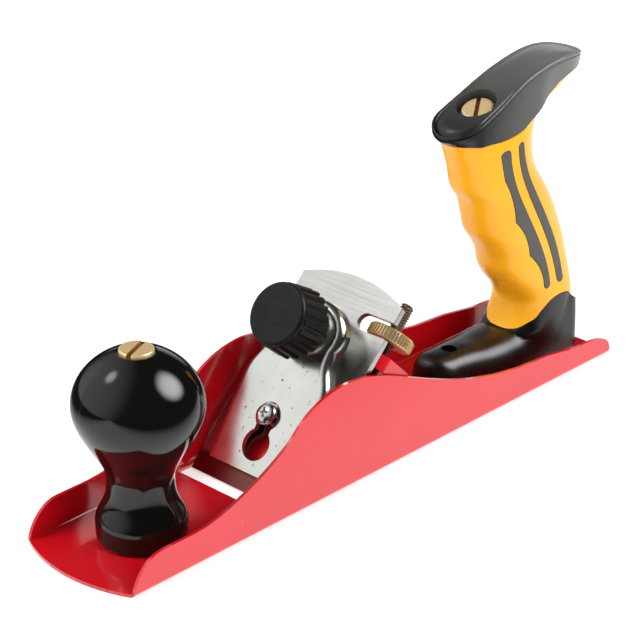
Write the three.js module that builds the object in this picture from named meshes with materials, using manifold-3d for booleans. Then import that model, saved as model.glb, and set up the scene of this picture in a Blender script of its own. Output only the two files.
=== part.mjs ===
// A small smoothing plane with a pressed steel body, 250 mm long.
// Millimetres, +X from toe to heel, +Y across, +Z up, origin on the sole at the middle of its length.
import * as THREE from 'three';
import { mergeVertices } from 'three/addons/utils/BufferGeometryUtils.js';
import Module from 'manifold-3d';

const wasm = await Module();
wasm.setup();

// ---- Driving dimensions ----
const bodyLength = 250;
const bodyWidth = 51.8;
const bodySheet = 1.2;
const bodyBend = 1.6; // outer radius of the fold between sole and wall
const toeBulge = 6.2; // how far the middle of the toe stands before its corners
const toeWall = 12.4; // height of the walls beside the front knob
const toeRail = 27; // from a toe corner to where its wall starts to rise
const humpHeight = 40.3;
const humpX = -19.2;
const heelWall = 9.3; // height of the walls at the heel
const heelShoulder = 11.9; // and where they start to rise to the hump
const heelRail = 37; // length of the low wall beside the rear handle
const heelLip = 1.5; // height of the wall's end at the heel
const heelCurve = 20; // length over which it rises from there
const gap = 0.3; // between pieces that seat on or pass through each other
const seat = 0.05; // under pieces that stand flat on the sole

const bedAngle = Math.PI / 4;
const edgeX = -47; // where the cutting edge meets the mouth
const edgeLift = 0.3; // the blade is stored just clear of the board
const mouthOpening = 6.2; // before the cutting edge
const mouthBehind = 6.2; // behind it, under the bevel
const mouthSideClearance = 0.4;

const bladeSideRoom = 1.4; // between the blade and each wall
const bladeWidth = bodyWidth - 2 * (bodySheet + bladeSideRoom);
const bladeLength = 85;
const bladeThickness = 2.4;
const bladeTopRise = 5; // of the arc that ends the blade
const bevelAngle = THREE.MathUtils.degToRad(25);

const frogSheet = 1.6;
const frogBend = 5;
const frogTop = 63.7; // up the slope from the cutting edge
const legTopWidth = 5.4;
const legFootWidth = 11.5;
const footReach = 11; // how far a leg's foot is folded in over the sole
const bedFootLength = 19;

const fulcrumU = 26.7; // place of the lever cap screw up the slope
const fulcrumDiameter = 4.8;
const fulcrumHead = 8;
const fulcrumHeadHeight = 2.4;
const hexFlats = 8;
const hexThickness = 3.2;

const studInset = 5.4; // from the blade's side
const studV = studInset - bladeWidth / 2; // across the bed
const studW = -9.3; // behind the blade's face
const studDiameter = 4.9;
const studLow = 42;
const studTop = 84;
const lugU = 47.2;
const lugThickness = 2.4;
const lugRadius = 4.6;

const nutRadius = 8.5;
const nutThickness = 4.5;
const nutU = 71;
const nutKnurls = 32;
const knurlDepth = 0.45;
const slotSideClearance = 0.9;
const slotInnerV = studV + nutRadius + slotSideClearance - gap; // where the slot ends

const capTilt = THREE.MathUtils.degToRad(9.5);
const capLow = 6.6; // up the slope to the lever cap's lower edge
const capSheet = 2;
const capRimHeight = 5.6;
const capEdgeRadius = 3;
const capLowInset = 4.5; // of the cap's side from the blade's side, at its lower edge
const capWideInset = 4; // and where the cap is widest
const capLowHalf = bladeWidth / 2 - capLowInset;
const capWideHalf = bladeWidth / 2 - capWideInset;
const capWideX = 32;
const capNeckX = 46.5;
const capNeckHalf = 14.4;
const capHeadRadius = 15.2;
const clampX = 53.5; // clamp screw along the cap from its lower edge
const keyTravel = 10.4; // how far the cap slides before its wide hole meets the screw
const keyWide = 11.6;
const keySlotClearance = 1;
const dimpleDiameter = 10.4;
const dimpleDepth = 0.8;

const clampDiameter = 6;
const clampCollarRadius = 9;
const clampCollarThickness = 3;
const clampCollarLift = 1.7; // above the cap's face when the cap is clamped
const clampKnobRadius = 12.8;
const clampKnobHeight = 11.6;
const clampKnobRibs = 20;
const clampRibDepth = 0.9;
const clampFaceHeight = 1.6;

const knobSetback = 33.5; // from the toe's foremost point to the front knob's axis
const knobHeight = 69.4; // above the sole's upper face
const knobBall = 44;
const knobBallHeight = 48.7;
const knobWaist = 22.5;
const knobWaistHeight = 22.7;
const knobBase = 30.9;
const knobBaseHeight = 6.6; // where the foot is widest
const brassHead = 11.8;
const brassHeadHeight = 3;
const brassBarrel = 7;
const brassBarrelLength = 9;
const brassSlotWidth = 1.7;
const brassSlotDepth = 1.6;
const knobSlotTurn = THREE.MathUtils.degToRad(22); // how the driver slots happen to stand
const handleSlotTurn = THREE.MathUtils.degToRad(15);
const rodDiameter = 5;
const knobHeadStand = -0.4; // of the brass nut over the front knob's crown

const handleSetback = 78.4; // from the heel to the nose of the rear handle's foot
const handleRodX = 66.2; // where the rod meets the sole, behind the foot's nose
const handleNutX = 28.5; // the middle of its brass nut, behind the foot's nose
const handleNutSink = 4.7; // seat of that nut below the rim of the handle's top
const recessDiameter = 15;
const handleSplit = 0.3; // seam between the moulded parts of the handle
const toeScrewX = 15.2; // behind the foot's nose
const toeHole = 6;
const toeScrewDiameter = 5.2;
const inlayDepth = 1.3;
const inlayStand = 0.25;

// ---- Solids ----

// A closed geometry as a solid for joining and cutting, its faces turned outwards.
function solid(geometry) {
  const bare = geometry.clone();
  bare.deleteAttribute('normal');
  bare.deleteAttribute('uv');
  const merged = mergeVertices(bare, 1e-4);
  const index = merged.index.array;
  const place = merged.attributes.position;
  const corners = [new THREE.Vector3(), new THREE.Vector3(), new THREE.Vector3()];
  const faces = [];
  let volume = 0;
  for (let i = 0; i < index.length; i += 3) {
    const [a, b, c] = [index[i], index[i + 1], index[i + 2]];
    if (a === b || b === c || c === a) continue;
    faces.push([a, b, c]);
    [a, b, c].forEach((vertex, k) => corners[k].fromBufferAttribute(place, vertex));
    volume += corners[0].dot(corners[1].cross(corners[2]));
  }
  const triVerts = new Uint32Array(faces.flatMap(([a, b, c]) => (volume < 0 ? [a, c, b] : [a, b, c])));
  const vertProperties = new Float32Array(place.array);
  return new wasm.Manifold(new wasm.Mesh({ numProp: 3, vertProperties, triVerts }));
}

function geometryOf(body) {
  const mesh = body.getMesh();
  const geometry = new THREE.BufferGeometry();
  geometry.setAttribute('position', new THREE.BufferAttribute(mesh.vertProperties, 3));
  geometry.setIndex(new THREE.BufferAttribute(mesh.triVerts, 1));
  geometry.computeVertexNormals();
  return geometry;
}

const join = (...geometries) => geometries.map(solid).reduce((whole, next) => whole.add(next));
const cut = (body, ...tools) => tools.map(solid).reduce((whole, tool) => whole.subtract(tool), body);
const keep = (body, ...tools) => tools.map(solid).reduce((whole, tool) => whole.intersect(tool), body);

// Prisms over an outline: along Z from an outline in (x, y), along Y from one in (x, z),
// and along X from one in (y, z).
function alongZ(shape, from, to, curveSegments = 12) {
  const prism = new THREE.ExtrudeGeometry(shape, { depth: to - from, bevelEnabled: false, curveSegments });
  return prism.translate(0, 0, from);
}

function alongY(shape, from, to, curveSegments = 12) {
  return alongZ(shape, -to, -from, curveSegments).rotateX(Math.PI / 2);
}

function alongX(shape, from, to, curveSegments = 12) {
  const turn = new THREE.Matrix4();
  turn.makeBasis(new THREE.Vector3(0, 1, 0), new THREE.Vector3(0, 0, 1), new THREE.Vector3(1, 0, 0));
  return alongZ(shape, from, to, curveSegments).applyMatrix4(turn);
}

const outline = (points) => new THREE.Shape(points.map(([x, y]) => new THREE.Vector2(x, y)));

function block(x0, x1, y0, y1, z0, z1) {
  const box = new THREE.BoxGeometry(x1 - x0, y1 - y0, z1 - z0);
  return box.translate((x0 + x1) / 2, (y0 + y1) / 2, (z0 + z1) / 2);
}

function cylinder(radius, z0, z1, sides = 32) {
  return new THREE.CylinderGeometry(radius, radius, z1 - z0, sides)
    .rotateX(Math.PI / 2)
    .translate(0, 0, (z0 + z1) / 2);
}

// A piece turned about Z; its profile lists [radius, height] from the axis back to the axis.
function turned(profile, sides = 32) {
  const points = profile.map(([r, z]) => new THREE.Vector2(r, z));
  return new THREE.LatheGeometry(points, sides).rotateX(Math.PI / 2);
}

function hexagon(flats, z0, z1) {
  return cylinder(flats / Math.sqrt(3), z0, z1, 6);
}

// A smooth value through a few known places, with no overshoot between equal neighbours.
function through(pairs) {
  const slope = pairs.map(([x, y], i) => {
    const [x0, y0] = pairs[Math.max(i - 1, 0)];
    const [x1, y1] = pairs[Math.min(i + 1, pairs.length - 1)];
    const turnsBack = (y1 - y) * (y - y0) <= 0;
    return turnsBack ? 0 : (y1 - y0) / (x1 - x0);
  });
  return (x) => {
    if (x <= pairs[0][0]) return pairs[0][1];
    if (x >= pairs.at(-1)[0]) return pairs.at(-1)[1];
    const i = pairs.findIndex(([next]) => next > x) - 1;
    const [[x0, y0], [x1, y1]] = [pairs[i], pairs[i + 1]];
    const span = x1 - x0;
    const t = (x - x0) / span;
    const rise = slope[i] * span * (t - 2 * t * t + t ** 3) + slope[i + 1] * span * (t ** 3 - t * t);
    return y0 + (y1 - y0) * (3 * t * t - 2 * t ** 3) + rise;
  };
}

// A closed skin over rings of equally many points, with flat ends.
function loft(rings) {
  const count = rings[0].length;
  const faces = [];
  for (let i = 0; i + 1 < rings.length; i += 1) {
    for (let j = 0; j < count; j += 1) {
      const [a, b] = [i * count + j, i * count + ((j + 1) % count)];
      faces.push(a, b, b + count, a, b + count, a + count);
    }
  }
  const last = (rings.length - 1) * count;
  for (let j = 1; j + 1 < count; j += 1) {
    faces.push(0, j + 1, j, last, last + j, last + j + 1);
  }
  const skin = new THREE.BufferGeometry();
  skin.setAttribute('position', new THREE.Float32BufferAttribute(rings.flat(2), 3));
  skin.setIndex(faces);
  return skin;
}

function stations(from, to, count) {
  return Array.from({ length: count + 1 }, (_, i) => from + ((to - from) * i) / count);
}

const rounded = (value, exponent) => Math.sign(value) * Math.abs(value) ** (2 / exponent);

// ---- Placing and naming ----

const plane = new THREE.Group();
plane.name = 'hand_plane';

// Local axes of the bed: x up the slope, y across, z out of the blade's face.
const bed = new THREE.Group();
bed.position.set(edgeX, 0, edgeLift);
bed.rotation.y = -bedAngle;
bed.updateMatrix();

// Local axes of the lever cap: x along its plate from the lower edge, z out of its face.
const cap = new THREE.Group();
cap.position.set(capLow, 0, gap);
cap.rotation.y = -capTilt;
bed.add(cap);

// The front knob stands on the sole, z up its axis.
const knob = new THREE.Group();
knob.position.set(knobSetback - bodyLength / 2, 0, bodySheet);

// The rear handle stands on the sole, x back from the nose of its foot.
const handle = new THREE.Group();
handle.position.set(bodyLength / 2 - handleSetback, 0, bodySheet);
handle.updateMatrix();

// Height of the rim of the handle's black top, from its nose to its tail.
const topRim = through([
  [8, 99], [11, 100.6], [15.4, 102.3], [21.4, 104.4], [29, 107.2], [37.4, 110.6], [45.4, 113.4], [57.4, 115.8],
  [66.4, 116.4], [73, 115.9], [78.5, 114.5], [83, 112.4],
]);

// Local z runs up the leaning rod of the rear handle, from the sole to its brass nut.
const handleNutRise = topRim(handleNutX) - handleNutSink;
const handleTilt = Math.atan2(handleRodX - handleNutX, handleNutRise);
const handleNutZ = handleNutRise / Math.cos(handleTilt); // seat of the nut along the rod
const handleRod = new THREE.Group();
handleRod.position.x = handleRodX;
handleRod.rotation.y = -handleTilt;
handleRod.updateMatrix();
handle.add(handleRod);
plane.add(bed, knob, handle);

const paint = {
  red: { color: 0xd0171c, roughness: 0.3, metalness: 0.1 },
  black: { color: 0x101010, roughness: 0.25, metalness: 0 },
  cap: { color: 0x2a2a2b, roughness: 0.45, metalness: 0 },
  yellow: { color: 0xf2ab2c, roughness: 0.35, metalness: 0 },
  grey: { color: 0x5b5b59, roughness: 0.7, metalness: 0 },
  steel: { color: 0xb9bbb8, roughness: 0.3, metalness: 1 },
  plated: { color: 0xd4d6d0, roughness: 0.22, metalness: 1 },
  dark: { color: 0x6b625a, roughness: 0.45, metalness: 1 },
  brass: { color: 0xd4a94f, roughness: 0.3, metalness: 1 },
};

function piece(name, body, look, parent = plane) {
  const mesh = new THREE.Mesh(geometryOf(body), new THREE.MeshStandardMaterial(paint[look]));
  mesh.name = name;
  parent.add(mesh);
  return mesh;
}

// ---- Body: one sheet folded to a channel, its walls cut to a curve ----

const innerHalf = bodyWidth / 2 - bodySheet;
const rodHole = rodDiameter + 2 * gap;

// A channel section with its web at the bottom and round folds, as an outline in (y, z).
function channel(width, sheet, bend, height) {
  const half = width / 2;
  const shape = new THREE.Shape();
  shape.moveTo(-half, height);
  shape.lineTo(-half, bend);
  shape.absarc(-half + bend, bend, bend, Math.PI, 1.5 * Math.PI, false);
  shape.absarc(half - bend, bend, bend, 1.5 * Math.PI, 2 * Math.PI, false);
  shape.lineTo(half, height);
  shape.lineTo(half - sheet, height);
  shape.absarc(half - bend, bend, bend - sheet, 0, -Math.PI / 2, true);
  shape.absarc(-half + bend, bend, bend - sheet, -Math.PI / 2, -Math.PI, true);
  shape.lineTo(-half + sheet, height);
  return shape;
}

// Side view of the body: a rounded toe, a low rail, the hump beside the blade and a low heel.
function wallOutline() {
  const toe = -bodyLength / 2;
  const corner = toe + toeBulge;
  const heel = bodyLength / 2;
  const shape = new THREE.Shape();
  shape.moveTo(toe - 1, -1);
  shape.lineTo(heel, -1);
  shape.lineTo(heel, heelLip);
  shape.bezierCurveTo(heel, heelWall - 2, heel - 0.3 * heelCurve, heelWall, heel - heelCurve, heelWall);
  const fall = heel - heelRail;
  shape.lineTo(fall, heelShoulder);
  shape.bezierCurveTo(fall - 57, heelShoulder + 1, humpX + 24, humpHeight, humpX, humpHeight);
  // Where the steep rise beside the blade turns over.
  const [bendX, bendZ] = [humpX - 26.4, humpHeight - 9.8];
  shape.bezierCurveTo(humpX - 10.7, humpHeight, bendX + 5.9, bendZ + 6.3, bendX, bendZ);
  const rise = corner + toeRail;
  shape.bezierCurveTo(bendX - 4.5, bendZ - 4.8, rise + 16.6, toeWall, rise, toeWall);
  shape.lineTo(corner + 12.5, toeWall);
  shape.bezierCurveTo(corner + 6, toeWall, corner + 1, toeWall / 2, corner, bodySheet);
  shape.lineTo(toe - 1, bodySheet);
  return shape;
}

// Top view of the body: the toe is an arc over the full width.
function planOutline() {
  const half = bodyWidth / 2 + 1;
  const radius = (toeBulge ** 2 + (bodyWidth / 2) ** 2) / (2 * toeBulge);
  const spread = Math.asin(half / radius);
  const shape = new THREE.Shape();
  shape.moveTo(bodyLength / 2 + 1, -half);
  shape.lineTo(bodyLength / 2 + 1, half);
  shape.absarc(-bodyLength / 2 + radius, 0, radius, Math.PI - spread, Math.PI + spread, false);
  return shape;
}

const mouthHalf = bladeWidth / 2 + mouthSideClearance;
const bedMatrix = bed.matrix;
const rodMatrix = handleRod.matrix;
const handleMatrix = handle.matrix;

const bodySection = channel(bodyWidth, bodySheet, bodyBend, humpHeight + 1);
const body = cut(
  keep(
    solid(alongX(bodySection, -bodyLength / 2 - 1, bodyLength / 2, 5)),
    alongY(wallOutline(), -bodyWidth, bodyWidth, 10),
    alongZ(planOutline(), -1, humpHeight + 2, 12),
  ),
  block(edgeX - mouthOpening, edgeX + mouthBehind, -mouthHalf, mouthHalf, -1, bodySheet + 1),
  cylinder(rodHole / 2, -1, bodySheet + 1, 24).translate(knob.position.x, 0, 0),
  cylinder(rodHole / 2, -6, 6, 24).applyMatrix4(rodMatrix).applyMatrix4(handleMatrix),
  cylinder(toeScrewDiameter / 2 + gap, -1, bodySheet + 1, 24).translate(handle.position.x + toeScrewX, 0, 0),
);
piece('body_channel', body, 'red');

// ---- Frog: the bed plate and its two folded legs, in one sheet ----

const bedFace = -bladeThickness - gap;
const bedBack = bedFace - frogSheet;
const legV = innerHalf - gap - seat; // outer face of the legs
const bedHalf = bladeWidth / 2 - 2; // the bed is narrower than the blade between its legs
const down = new THREE.Vector2(-Math.sin(bedAngle), -Math.cos(bedAngle)); // world down in the bed's (x, z)

// An edge that leaves the bed square at height u and bends over to run straight down.
function legEdge(u, straight, radius) {
  const path = new THREE.Path();
  path.moveTo(u, 1);
  path.lineTo(u, -straight);
  path.absarc(u - radius, -straight, radius, 0, -bedAngle, true);
  const end = path.getPoint(1);
  path.lineTo(end.x + down.x * humpHeight * 2, end.y + down.y * humpHeight * 2);
  return path.getPoints(6).map((p) => [p.x, p.y]);
}

const rearEdge = legEdge(frogTop, 17, 22);
const frontEdge = legEdge(frogTop - legTopWidth, 8, 18);
const farDown = [-humpHeight, -humpHeight * 3];
const worldX = (p) => edgeX + p[0] * Math.cos(bedAngle) - p[1] * Math.sin(bedAngle);
const legRearX = worldX(rearEdge.at(-1));
const footTop = bodySheet + gap + frogSheet;
const footLow = bodySheet + gap;

function frogBody() {
  const section = channel(2 * legV, frogSheet, frogBend, 3 * humpHeight);
  const folded = alongX(section, -humpHeight, frogTop, 6).rotateX(Math.PI).translate(0, 0, bedFace);
  const sideView = outline([[-humpHeight, 1], ...rearEdge, farDown]);
  const window = outline([[-humpHeight, 2], [frogTop - legTopWidth, 2], ...frontEdge.slice(1), farDown]);
  const reach = bodyWidth;
  const sheet = cut(
    keep(solid(folded), alongY(sideView, -reach, reach)),
    alongY(window, bedHalf, reach),
    alongY(window, -reach, -bedHalf),
  );
  const world = solid(geometryOf(sheet).applyMatrix4(bedMatrix));
  const foot = (side) => block(
    legRearX - legFootWidth, legRearX,
    Math.min(side * legV, side * (legV - footReach)), Math.max(side * legV, side * (legV - footReach)),
    footLow, footTop,
  );
  const rise = footTop - edgeLift - bedFace * Math.cos(bedAngle);
  // Where the bed's face meets its foot.
  const bedFootX = edgeX + rise / Math.tan(bedAngle) - bedFace * Math.sin(bedAngle);
  const bedFoot = block(bedFootX, bedFootX + bedFootLength, -bedHalf, bedHalf, footLow, footTop);
  const feet = join(foot(1), foot(-1), bedFoot);
  const inside = channelInside(gap, 2 * humpHeight);
  const aboveSole = block(-bodyLength, bodyLength, -bodyWidth, bodyWidth, footLow, bodyLength);
  const seated = keep(world.add(feet), inside, aboveSole);
  return cut(
    seated.add(solid(studLug().applyMatrix4(bedMatrix))),
    cylinder(fulcrumDiameter / 2 + gap, bedBack - 1, bedFace + 1)
      .translate(fulcrumU, 0, 0)
      .applyMatrix4(bedMatrix),
    studBore(lugU - lugThickness, lugU + lugThickness).applyMatrix4(bedMatrix),
  );
}

// The space inside the body's channel, less a clearance, along its whole length.
function channelInside(clearance, height) {
  const half = innerHalf - clearance;
  const radius = bodyBend;
  const low = bodySheet + clearance;
  const shape = new THREE.Shape();
  shape.moveTo(half, height);
  shape.lineTo(-half, height);
  shape.absarc(-half + radius, low + radius, radius, Math.PI, 1.5 * Math.PI, false);
  shape.absarc(half - radius, low + radius, radius, 1.5 * Math.PI, 2 * Math.PI, false);
  return alongX(shape, -bodyLength / 2, bodyLength / 2, 6);
}

// A tongue behind the bed plate that holds the stud; its end is round about the stud.
function studLug() {
  const shape = new THREE.Shape();
  shape.moveTo(studV + lugRadius, bedBack + frogSheet / 2);
  shape.lineTo(studV - bedHalf - studV, bedBack + frogSheet / 2);
  shape.lineTo(studV - lugRadius, studW);
  shape.absarc(studV, studW, lugRadius, Math.PI, 2 * Math.PI, false);
  return alongX(shape, lugU - lugThickness / 2, lugU + lugThickness / 2);
}

const alongStud = (geometry) => geometry.rotateY(Math.PI / 2).translate(0, studV, studW);
const studBore = (from, to) => alongStud(cylinder(studDiameter / 2 + gap, from, to));

piece('frog', frogBody(), 'red');

const stud = turned([
  [0, studLow], [studDiameter / 2 - 0.6, studLow], [studDiameter / 2, studLow + 0.6],
  [studDiameter / 2, studTop - 0.6], [studDiameter / 2 - 0.6, studTop], [0, studTop],
], 20);
piece('adjuster_stud', solid(alongStud(stud)), 'dark', bed);

const lugFace = lugThickness / 2 + gap;
const studNuts = [['stud_lower_nut', lugU - lugFace - hexThickness], ['stud_upper_nut', lugU + lugFace]];
studNuts.forEach(([name, low]) => {
  const hex = alongStud(hexagon(hexFlats, low, low + hexThickness));
  piece(name, cut(solid(hex), studBore(low - 1, low + hexThickness + 1)), 'steel', bed);
});

// ---- Blade, with a keyhole for the cap screw and a side slot for the brass nut ----

function bladeOutline() {
  const half = bladeWidth / 2;
  const shoulder = bladeLength - bladeTopRise;
  const radius = (bladeTopRise ** 2 + half ** 2) / (2 * bladeTopRise);
  const spread = Math.asin(half / radius);
  const shape = new THREE.Shape();
  shape.moveTo(0, half);
  shape.lineTo(0, -half);
  shape.lineTo(shoulder, -half);
  shape.absarc(bladeLength - radius, 0, radius, -spread, spread, false);
  return shape;
}

// A slot along x between two round ends of their own widths.
function keyhole(wideX, wide, endX, narrow) {
  const neck = Math.sqrt((wide / 2) ** 2 - (narrow / 2) ** 2);
  const angle = Math.asin(narrow / wide);
  const shape = new THREE.Shape();
  shape.moveTo(wideX + neck, narrow / 2);
  shape.absarc(wideX, 0, wide / 2, angle, 2 * Math.PI - angle, false);
  shape.absarc(endX, 0, narrow / 2, -Math.PI / 2, Math.PI / 2, false);
  return shape;
}

function nutSlot() {
  const half = nutThickness / 2 + slotSideClearance;
  const shape = new THREE.Shape();
  shape.moveTo(nutU - half, -bladeWidth);
  shape.lineTo(nutU + half, -bladeWidth);
  shape.absarc(nutU, slotInnerV - half, half, 0, Math.PI, false);
  return shape;
}

const bladeSlot = fulcrumDiameter + 1;
const bevelLength = bladeThickness / Math.tan(bevelAngle);
const belowBevel = outline([
  [0, 0], [bevelLength, -bladeThickness], [bevelLength, -2 * bladeThickness],
  [-2, -2 * bladeThickness], [-2, 0],
]);
const blade = cut(
  solid(alongZ(bladeOutline(), -bladeThickness, 0, 16)),
  alongY(belowBevel, -bladeWidth, bladeWidth),
  alongZ(keyhole(fulcrumU - 11.2, keyWide, fulcrumU + 4.5, bladeSlot), -bladeThickness - 1, 1, 10),
  alongZ(nutSlot(), -bladeThickness - 1, 1, 10),
);
piece('blade', blade, 'steel', bed);

// ---- Brass adjusting nut, its rim in the blade's slot ----

// A round outline with square ribs on it.
function ribbed(radius, depth, count, share) {
  const shape = new THREE.Shape();
  const pitch = (2 * Math.PI) / count;
  for (let i = 0; i < count; i += 1) {
    const from = i * pitch;
    const to = from + pitch * share;
    const [inner, outer] = [radius - depth, radius];
    const corners = [[inner, from], [outer, from], [outer, to], [inner, to]];
    corners.forEach(([r, angle], k) => {
      const point = [r * Math.cos(angle), r * Math.sin(angle)];
      if (i === 0 && k === 0) shape.moveTo(...point);
      else shape.lineTo(...point);
    });
  }
  return shape;
}

const nutLow = nutU - nutThickness / 2;
const nutHigh = nutU + nutThickness / 2;
const nutBlank = turned([
  [0, nutLow], [nutRadius - 0.6, nutLow], [nutRadius, nutLow + 0.6],
  [nutRadius, nutHigh - 0.6], [nutRadius - 0.6, nutHigh], [0, nutHigh],
], nutKnurls);
const nutRibs = ribbed(nutRadius, knurlDepth, nutKnurls, 0.5);
const adjusterNut = cut(
  keep(solid(alongStud(alongZ(nutRibs, nutLow, nutHigh))), alongStud(nutBlank)),
  studBore(nutLow - 1, nutHigh + 1),
);
piece('adjuster_nut', adjusterNut, 'brass', bed);

// ---- Lever cap: a pressed plate with turned-down edges, a keyhole and a round head ----

function capOutline() {
  const shape = new THREE.Shape();
  const foot = -2 * capEdgeRadius; // runs past the lower edge, where it is cut off square
  shape.moveTo(foot, -capLowHalf);
  shape.lineTo(0, -capLowHalf);
  shape.bezierCurveTo(capWideX / 2, -capWideHalf, capWideX, -capWideHalf, capWideX, -capWideHalf);
  shape.bezierCurveTo(capWideX + 6, -capWideHalf, capNeckX - 6, -capNeckHalf, capNeckX, -capNeckHalf);
  const spread = Math.asin(capNeckHalf / capHeadRadius) * 0.98;
  shape.absarc(clampX, 0, capHeadRadius, -Math.PI + spread, Math.PI - spread, false);
  shape.lineTo(capNeckX, capNeckHalf);
  shape.bezierCurveTo(capNeckX - 6, capNeckHalf, capWideX + 6, capWideHalf, capWideX, capWideHalf);
  shape.bezierCurveTo(capWideX, capWideHalf, capWideX / 2, capWideHalf, 0, capLowHalf);
  shape.lineTo(foot, capLowHalf);
  return shape;
}

// The outline as a block whose upper edge is rounded, its top at the given height.
function roundTopped(inset, radius, top, bottom) {
  const block = new THREE.ExtrudeGeometry(capOutline(), {
    depth: top - radius - bottom,
    bevelThickness: radius,
    bevelSize: radius,
    bevelOffset: -radius - inset,
    bevelSegments: 3,
    curveSegments: 5,
  });
  return block.translate(0, 0, bottom);
}

const capUnder = capSheet - capRimHeight;
const screwX = (fulcrumU - capLow) / Math.cos(capTilt) + (capSheet / 2) * Math.tan(capTilt);
const keyWideX = screwX - keyTravel / Math.cos(capTilt);
const keySlot = fulcrumDiameter + 2 * keySlotClearance;
const clampHole = clampDiameter / 2 + gap;
const bossRadius = clampDiameter / 2 + 2.5;
const bossDepth = 3;

function leverCap() {
  const deep = capUnder - 2 * capEdgeRadius;
  const outer = solid(roundTopped(0, capEdgeRadius, capSheet, deep));
  const hollow = roundTopped(capSheet, capEdgeRadius - capSheet, 0, deep);
  const boss = cylinder(bossRadius, -bossDepth, capSheet / 2).translate(clampX, 0, 0);
  const past = bodyWidth;
  const underBlade = outline([
    [-past, 0], [0, 0],
    [past * 2, -past * 2 * Math.tan(capTilt)], [past * 2, -past], [-past, -past],
  ]);
  return cut(
    keep(cut(outer, hollow), block(0, bodyLength, -past, past, capUnder, past)).add(solid(boss)),
    alongY(underBlade, -past, past),
    alongZ(keyhole(keyWideX, keyWide, screwX, keySlot), -capSheet, 2 * capSheet, 10),
    cylinder(dimpleDiameter / 2, capSheet - dimpleDepth, 2 * capSheet).translate(screwX, 0, 0),
    cylinder(clampHole, -2 * bossDepth, 2 * capSheet).translate(clampX, 0, 0),
  );
}
piece('lever_cap', leverCap(), 'plated', cap);

// Screw that holds the cap down, and its nut behind the bed plate.
const headReach = fulcrumU + fulcrumHead / 2 - capLow;
const capFaceHeight = headReach * Math.tan(capTilt) + capSheet / Math.cos(capTilt);
const headLow = capFaceHeight + 2 * gap;
const headTop = headLow + fulcrumHeadHeight;
const screwEnd = bedBack - gap - hexThickness - 1.5;
const fulcrumScrew = turned([
  [0, screwEnd], [fulcrumDiameter / 2 - 0.5, screwEnd], [fulcrumDiameter / 2, screwEnd + 0.5],
  [fulcrumDiameter / 2, headLow], [fulcrumHead / 2, headLow],
  [fulcrumHead / 2, headLow + 0.45 * fulcrumHeadHeight],
  [0.42 * fulcrumHead, headLow + 0.8 * fulcrumHeadHeight], [0.25 * fulcrumHead, headTop], [0, headTop],
], 24).translate(fulcrumU, 0, 0);
piece('cap_screw', solid(fulcrumScrew), 'plated', bed);

const capNutTop = bedBack - gap;
const capNut = cut(
  solid(hexagon(hexFlats, capNutTop - hexThickness, capNutTop).translate(fulcrumU, 0, 0)),
  cylinder(fulcrumDiameter / 2 + gap, screwEnd - 1, capNutTop + 1).translate(fulcrumU, 0, 0),
);
piece('cap_screw_nut', capNut, 'steel', bed);

// ---- Clamp screw, its collar and its ribbed knob, on an axis square to the cap ----

const collarLow = capSheet + clampCollarLift;
const collarHigh = collarLow + clampCollarThickness;
const clampKnobLow = collarHigh + gap;
const clampKnobTop = clampKnobLow + clampKnobHeight;
const tipRadius = clampDiameter / 2;
// Lowest place of the round tip: a sphere that just clears the blade's face.
const tipCentre = -(clampX * Math.sin(capTilt) - tipRadius) / Math.cos(capTilt);
const clampTop = clampKnobLow + 5.5;

const tipArc = stations(-Math.PI / 2, 0, 5).map((angle) => [
  tipRadius * Math.cos(angle), tipCentre + tipRadius * Math.sin(angle),
]);
tipArc[0][0] = 0;
const clampScrew = turned([...tipArc, [tipRadius, clampTop], [0, clampTop]], 24).translate(clampX, 0, 0);
piece('clamp_screw', solid(clampScrew), 'steel', cap);

const collar = cut(
  solid(turned([
    [0, collarLow], [clampCollarRadius - 0.6, collarLow], [clampCollarRadius, collarLow + 0.6],
    [clampCollarRadius, collarHigh - 0.4], [clampCollarRadius - 0.4, collarHigh], [0, collarHigh],
  ], 24).translate(clampX, 0, 0)),
  cylinder(clampHole, collarLow - 1, collarHigh + 1).translate(clampX, 0, 0),
);
piece('clamp_collar', collar, 'plated', cap);

const faceRadius = clampKnobRadius - clampRibDepth;
const ribOutline = ribbed(clampKnobRadius, clampRibDepth, clampKnobRibs, 0.62);
const ribs = alongZ(ribOutline, clampKnobLow, clampKnobTop - clampFaceHeight);
const knobCore = turned([
  [0, clampKnobLow], [faceRadius - 0.2, clampKnobLow], [faceRadius - 0.2, clampKnobTop - clampFaceHeight],
  [faceRadius, clampKnobTop - clampFaceHeight], [faceRadius, clampKnobTop - 0.8],
  [faceRadius - 0.8, clampKnobTop],
  [4.6, clampKnobTop], [4.4, clampKnobTop - 0.25], [0, clampKnobTop - 0.25],
], 32);
const clampKnob = cut(
  join(ribs.translate(clampX, 0, 0), knobCore.translate(clampX, 0, 0)),
  cylinder(clampHole, clampKnobLow - 1, clampTop + gap).translate(clampX, 0, 0),
);
piece('clamp_knob', clampKnob, 'black', cap);

// ---- Front knob: a turned ball on a waisted foot, with its rod and brass nut ----

function brassNut(low, slotTurn, name, parent) {
  const high = low + brassHeadHeight;
  const barrelLow = low - brassBarrelLength;
  const blank = turned([
    [0, barrelLow], [brassBarrel / 2, barrelLow], [brassBarrel / 2, low], [brassHead / 2, low],
    [brassHead / 2, high - 0.7], [brassHead / 2 - 0.7, high], [0, high],
  ], 24);
  const slot = block(
    -brassHead, brassHead, -brassSlotWidth / 2, brassSlotWidth / 2, high - brassSlotDepth, high + 1,
  );
  const nut = cut(
    solid(blank),
    slot.rotateZ(slotTurn),
    cylinder(rodDiameter / 2 + gap, barrelLow - 1, low, 20),
  );
  piece(name, nut, 'brass', parent);
}

function steelRod(low, high, name, parent) {
  return piece(name, solid(cylinder(rodDiameter / 2, low, high, 20)), 'steel', parent);
}

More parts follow.
